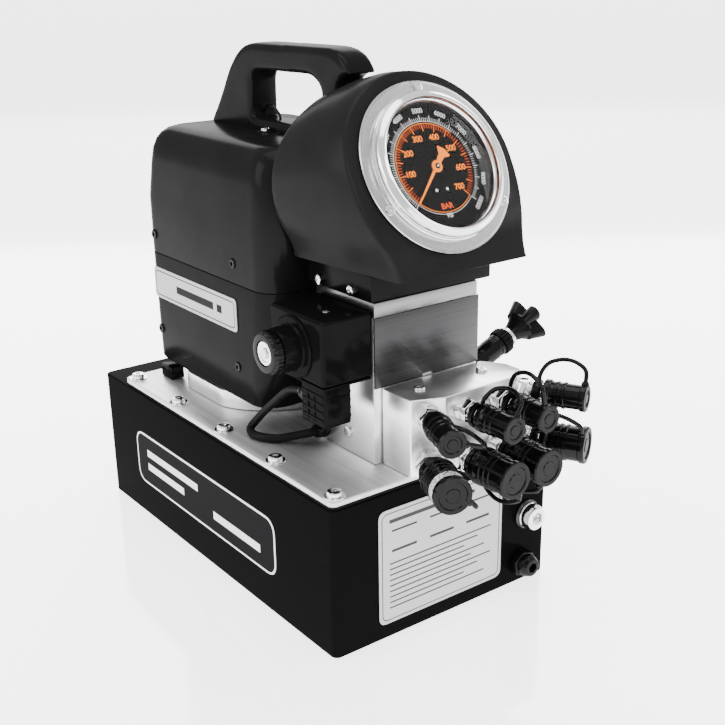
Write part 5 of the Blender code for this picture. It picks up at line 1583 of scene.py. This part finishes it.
    def word(self, text, radius, angle, size, height, ink, turn):
        start_clean()
        bpy.ops.object.text_add(location=(radius * cos(angle), radius * sin(angle), height + 0.00012),
                                rotation=(0, 0, turn))
        words = bpy.context.object
        words.data.body = text
        words.data.size = size
        words.data.align_x = "CENTER"
        words.data.align_y = "CENTER"
        words.data.offset = size * 0.018
        words.data.space_character = 0.95
        take(words)
        bpy.ops.object.convert(target="MESH")
        words = bpy.context.object
        apply_place(words)
        return on_dial(dress(words, "numeral", ink))

    def pointer(self, sizes):
        base = FACE_HEIGHT + 0.0015
        warm = self.ink("orange_pointer_paint", tuple(sizes.warm))
        spin = Matrix.Rotation(radians(-45), 4, "Z")
        shape = mm((-1.3, 0), (-0.45, -36.2), (0, -37.4), (0.45, -36.2), (1.3, 0), (2.6, 9.5), (2.1, 10.3), (6.2, 15),
                   (5.8, 15.8), (0, 17.2), (-5.8, 15.8), (-6.2, 15), (-2.1, 10.3), (-2.6, 9.5))
        needle = slab("needle", [spin @ Vector((x, y, base)) for x, y in shape], (0, 0, 0.0008), warm, 0.00015, 1)
        on_dial(needle)
        stack = (("hub", mm((0, 0.6), (4.4, 0.6), (4.6, 0.9), (4.6, 1.6), (4.2, 2), (0, 2)), warm, 48, False),
                 ("ring", mm((1.3, 2), (2.1, 2), (2.1, 2.3), (1.3, 2.3)), finish_of("gasket"), 32, True),
                 ("pin", mm((0, -7), (1.1, -7), (1.2, 2.1), (0.9, 2.6), (0, 2.7)), finish_of("bright"), 24, False))
        parts = [turned(name, raised(base, profile), DIAL_AT, DIAL_OUT, look, steps, ring)
                 for name, profile, look, steps, ring in stack]
        keep(joined("orange_pointer", [needle, *parts]), "gauge_pointer", body="pointer", slot="pointer_orange")


# ------------------------------------------------------------------ relief valve

class POWERUNIT_OT_relief_valve(bpy.types.Operator):
    """Make the relief valve, its lock ring and its lobed knob"""
    bl_idname = "powerunit.relief_valve"
    bl_label = "Relief valve"

    def execute(self, context):
        origin, axis = joint_line("relief_knob_turn")
        black = finish_of("rubber")
        body = turned("body", mm((0, -11.8), (5.9, -11.8), (5.9, 5), (7.2, 6.2), (9, 21), (9.3, 24.5), (9.3, 30),
                                 (8.6, 30.6), (8.6, 32.2), (9.3, 32.8), (9.3, 35.6), (8.8, 36), (5.3, 36), (5.3, 6.5),
                                 (0, 6.5)), origin, axis, black, 48)
        nut = hex_prism("nut", 0.0160, 0.0110, 0.0190, origin, axis, black, chamfer=0.0008)
        keep(joined("relief_valve_barrel", [body, nut]), "relief_valve_body", slot="rubber")
        self.ring(origin, axis)
        self.knob(origin, axis)
        return {"FINISHED"}

    def ring(self, origin, axis):
        ring = turned("knurled_lock_ring", mm((5.3, 36.4), (10.3, 36.4), (10.9, 37), (10.9, 42.8), (10.3, 43.4),
                                              (5.3, 43.4)), ORIGIN, UP, finish_of("bracket"), 96, ring=True)
        knurl(ring, ORIGIN, RIGHT, BACK, 0.0095, (0.945, 0.945, 1))
        stand(ring, origin, axis)
        keep(smooth(ring, 50), "relief_lock_ring", body="relief_lock_ring", slot="bracket_black")

    def knob(self, origin, axis):
        """A screw stem, a bright ring, a cone neck and a four-lobed grip."""
        plastic = finish_of("knob")
        stem = turned("stem", mm((0, 15.3), (4.8, 15.3), (4.8, 44), (0, 44)), origin, axis, finish_of("steel"), 36)
        shine = turned("shine", mm((4, 45.8), (8.4, 45.8), (8.8, 46.2), (8.8, 48.2), (8.3, 48.7), (4, 48.7)), origin,
                       axis, finish_of("bright"), 48, ring=True)
        neck = turned("neck", mm((0, 45.7), (6, 45.8), (6.2, 49), (7.2, 52), (9.6, 58), (12.8, 62), (11.8, 64),
                                 (0, 64)), origin, axis, plastic, 48)
        outline = []
        for step in range(96):
            angle = 2 * pi * step / 96
            reach = 0.0148 + 0.0050 * cos(4 * (angle - pi / 4)) - 0.0007 * cos(8 * (angle - pi / 4))
            outline.append(Vector((reach * cos(angle), reach * sin(angle), 0.0605)))
        grip = slab("grip", outline, (0, 0, 0.0140), plastic, 0.0036, 5, angle=60)
        self.dish(grip)
        stand(grip, origin, axis)
        crown = turned("crown", mm((0, 73), (6.6, 73), (6.6, 75.7), (5.8, 76.6), (0, 76.8)), origin, axis, plastic,
                       40)
        keep(joined("lobed_knob", [smooth(grip, 50), neck, stem, shine, crown]), "relief_knob", body="relief_knob",
             slot="cover_black")

    def dish(self, grip):
        """Draw the grip in towards the neck."""
        with editing(grip):
            pick(grip, "verts", lambda co: co.z < 0.0640)
            bpy.ops.transform.resize(value=(0.72, 0.72, 1), center_override=(0, 0, 0.06))


# ------------------------------------------------------------------ stage

class POWERUNIT_OT_stage(bpy.types.Operator):
    """Make the pale floor, the soft lights and the camera"""
    bl_idname = "powerunit.stage"
    bl_label = "Stage"

    # Name, place, width and height, and brightness
    SOFT_LIGHTS = (("back_softbox", (1.62, 2.16, 1.3), (3.0, 1.8), 7),
                   ("left_window", (-2.2, 0.5, 1.4), (1.2, 1.6), 5),
                   ("front_window", (-0.8, -2.2, 2.2), (1.2, 1.0), 6),
                   ("right_window", (2.0, -0.9, 1.0), (0.7, 1.6), 6),
                   ("top_window", (0.0, 0.1, 2.4), (1.5, 1.5), 4))

    def execute(self, context):
        look = context.scene.powerunit_stage
        self.floor(tuple(look.floor))
        self.lights(context)
        self.camera(context, look.lens)
        return {"FINISHED"}

    def floor(self, colour):
        """A large pale table, lit from inside like a light box, with a soft reflection."""
        start_clean()
        bpy.ops.mesh.primitive_plane_add(size=60, location=(0, 0, 0))
        floor = apply_place(bpy.context.object)
        finish = Finish("pale_floor", colour, 0.1)
        haze = finish.noise(0.4, detail=3)
        glow = finish.mix(haze, colour, tuple(c * 0.99 for c in colour))
        finish.set({"Roughness": 0.08 + haze * 0.03, "Base Color": glow, "Emission Color": glow})
        finish.set({"Emission Strength": 3.2, "Specular IOR Level": 1.0})
        dress(floor, "pale_floor", finish.material)

    def lights(self, context):
        world = bpy.data.worlds.new("soft_room")
        world.use_nodes = True
        background = world.node_tree.nodes["Background"]
        background.inputs["Color"].default_value = (1, 1, 1, 1)
        background.inputs["Strength"].default_value = 1.3
        context.scene.world = world
        aim = Vector((0, 0, 0.2))
        for name, place, size, radiance in self.SOFT_LIGHTS:
            bpy.ops.object.light_add(type="AREA", location=place)
            light = bpy.context.object
            light.name = name
            light.visible_camera = False
            light.data.shape = "RECTANGLE"
            light.data.size, light.data.size_y = size
            light.data.energy = radiance * pi * size[0] * size[1]
            light.rotation_euler = (aim - Vector(place)).to_track_quat("-Z", "Y").to_euler()

    def camera(self, context, lens):
        bpy.ops.object.camera_add(location=(-0.51612, -0.77909, 0.49134),
                                  rotation=(radians(70.356), radians(0.9002), radians(-36.7865)))
        camera = bpy.context.object
        camera.name = "studio_camera"
        camera.data.sensor_width = 36
        camera.data.lens = lens
        camera.data.clip_start = 0.02
        context.scene.camera = camera


# ------------------------------------------------------------------ panel and running order

OPERATORS = (POWERUNIT_OT_stage, POWERUNIT_OT_tank, POWERUNIT_OT_tank_fittings, POWERUNIT_OT_valve_block,
             POWERUNIT_OT_couplers, POWERUNIT_OT_dust_caps, POWERUNIT_OT_motor_cover, POWERUNIT_OT_works,
             POWERUNIT_OT_solenoid, POWERUNIT_OT_gauge_housing, POWERUNIT_OT_gauge, POWERUNIT_OT_relief_valve)
GROUPS = {"powerunit_tank": TankSizes, "powerunit_cover": CoverSizes, "powerunit_gauge": GaugeSizes,
          "powerunit_ports": PortSizes, "powerunit_stage": StageLook}


class POWERUNIT_PT_panel(bpy.types.Panel):
    """Sizes, colours and operators of the power unit"""
    bl_idname = "POWERUNIT_PT_panel"
    bl_label = "Hydraulic power unit"
    bl_space_type = "VIEW_3D"
    bl_region_type = "UI"
    bl_category = "Power unit"

    def draw(self, context):
        for name in GROUPS:
            box = self.layout.box()
            group = getattr(context.scene, name)
            for field in group.bl_rna.properties.keys():
                if field not in {"rna_type", "name"}:
                    box.prop(group, field)
        for operator in OPERATORS:
            self.layout.operator(operator.bl_idname)


def register():
    for group in GROUPS.values():
        bpy.utils.register_class(group)
    for name, group in GROUPS.items():
        setattr(bpy.types.Scene, name, PointerProperty(type=group))
    for operator in OPERATORS:
        bpy.utils.register_class(operator)
    bpy.utils.register_class(POWERUNIT_PT_panel)


def unregister():
    bpy.utils.unregister_class(POWERUNIT_PT_panel)
    for operator in reversed(OPERATORS):
        bpy.utils.unregister_class(operator)
    for name in GROUPS:
        delattr(bpy.types.Scene, name)
    for group in reversed(list(GROUPS.values())):
        bpy.utils.unregister_class(group)


def main():
    register()
    bpy.ops.powerunit.stage()
    bpy.ops.powerunit.tank()
    bpy.ops.powerunit.tank_fittings()
    bpy.ops.powerunit.valve_block()
    bpy.ops.powerunit.couplers()
    bpy.ops.powerunit.dust_caps()
    bpy.ops.powerunit.motor_cover()
    bpy.ops.powerunit.works()
    bpy.ops.powerunit.solenoid()
    bpy.ops.powerunit.gauge_housing()
    bpy.ops.powerunit.gauge()
    bpy.ops.powerunit.relief_valve()
    start_clean()


if __name__ == "__main__":
    main()
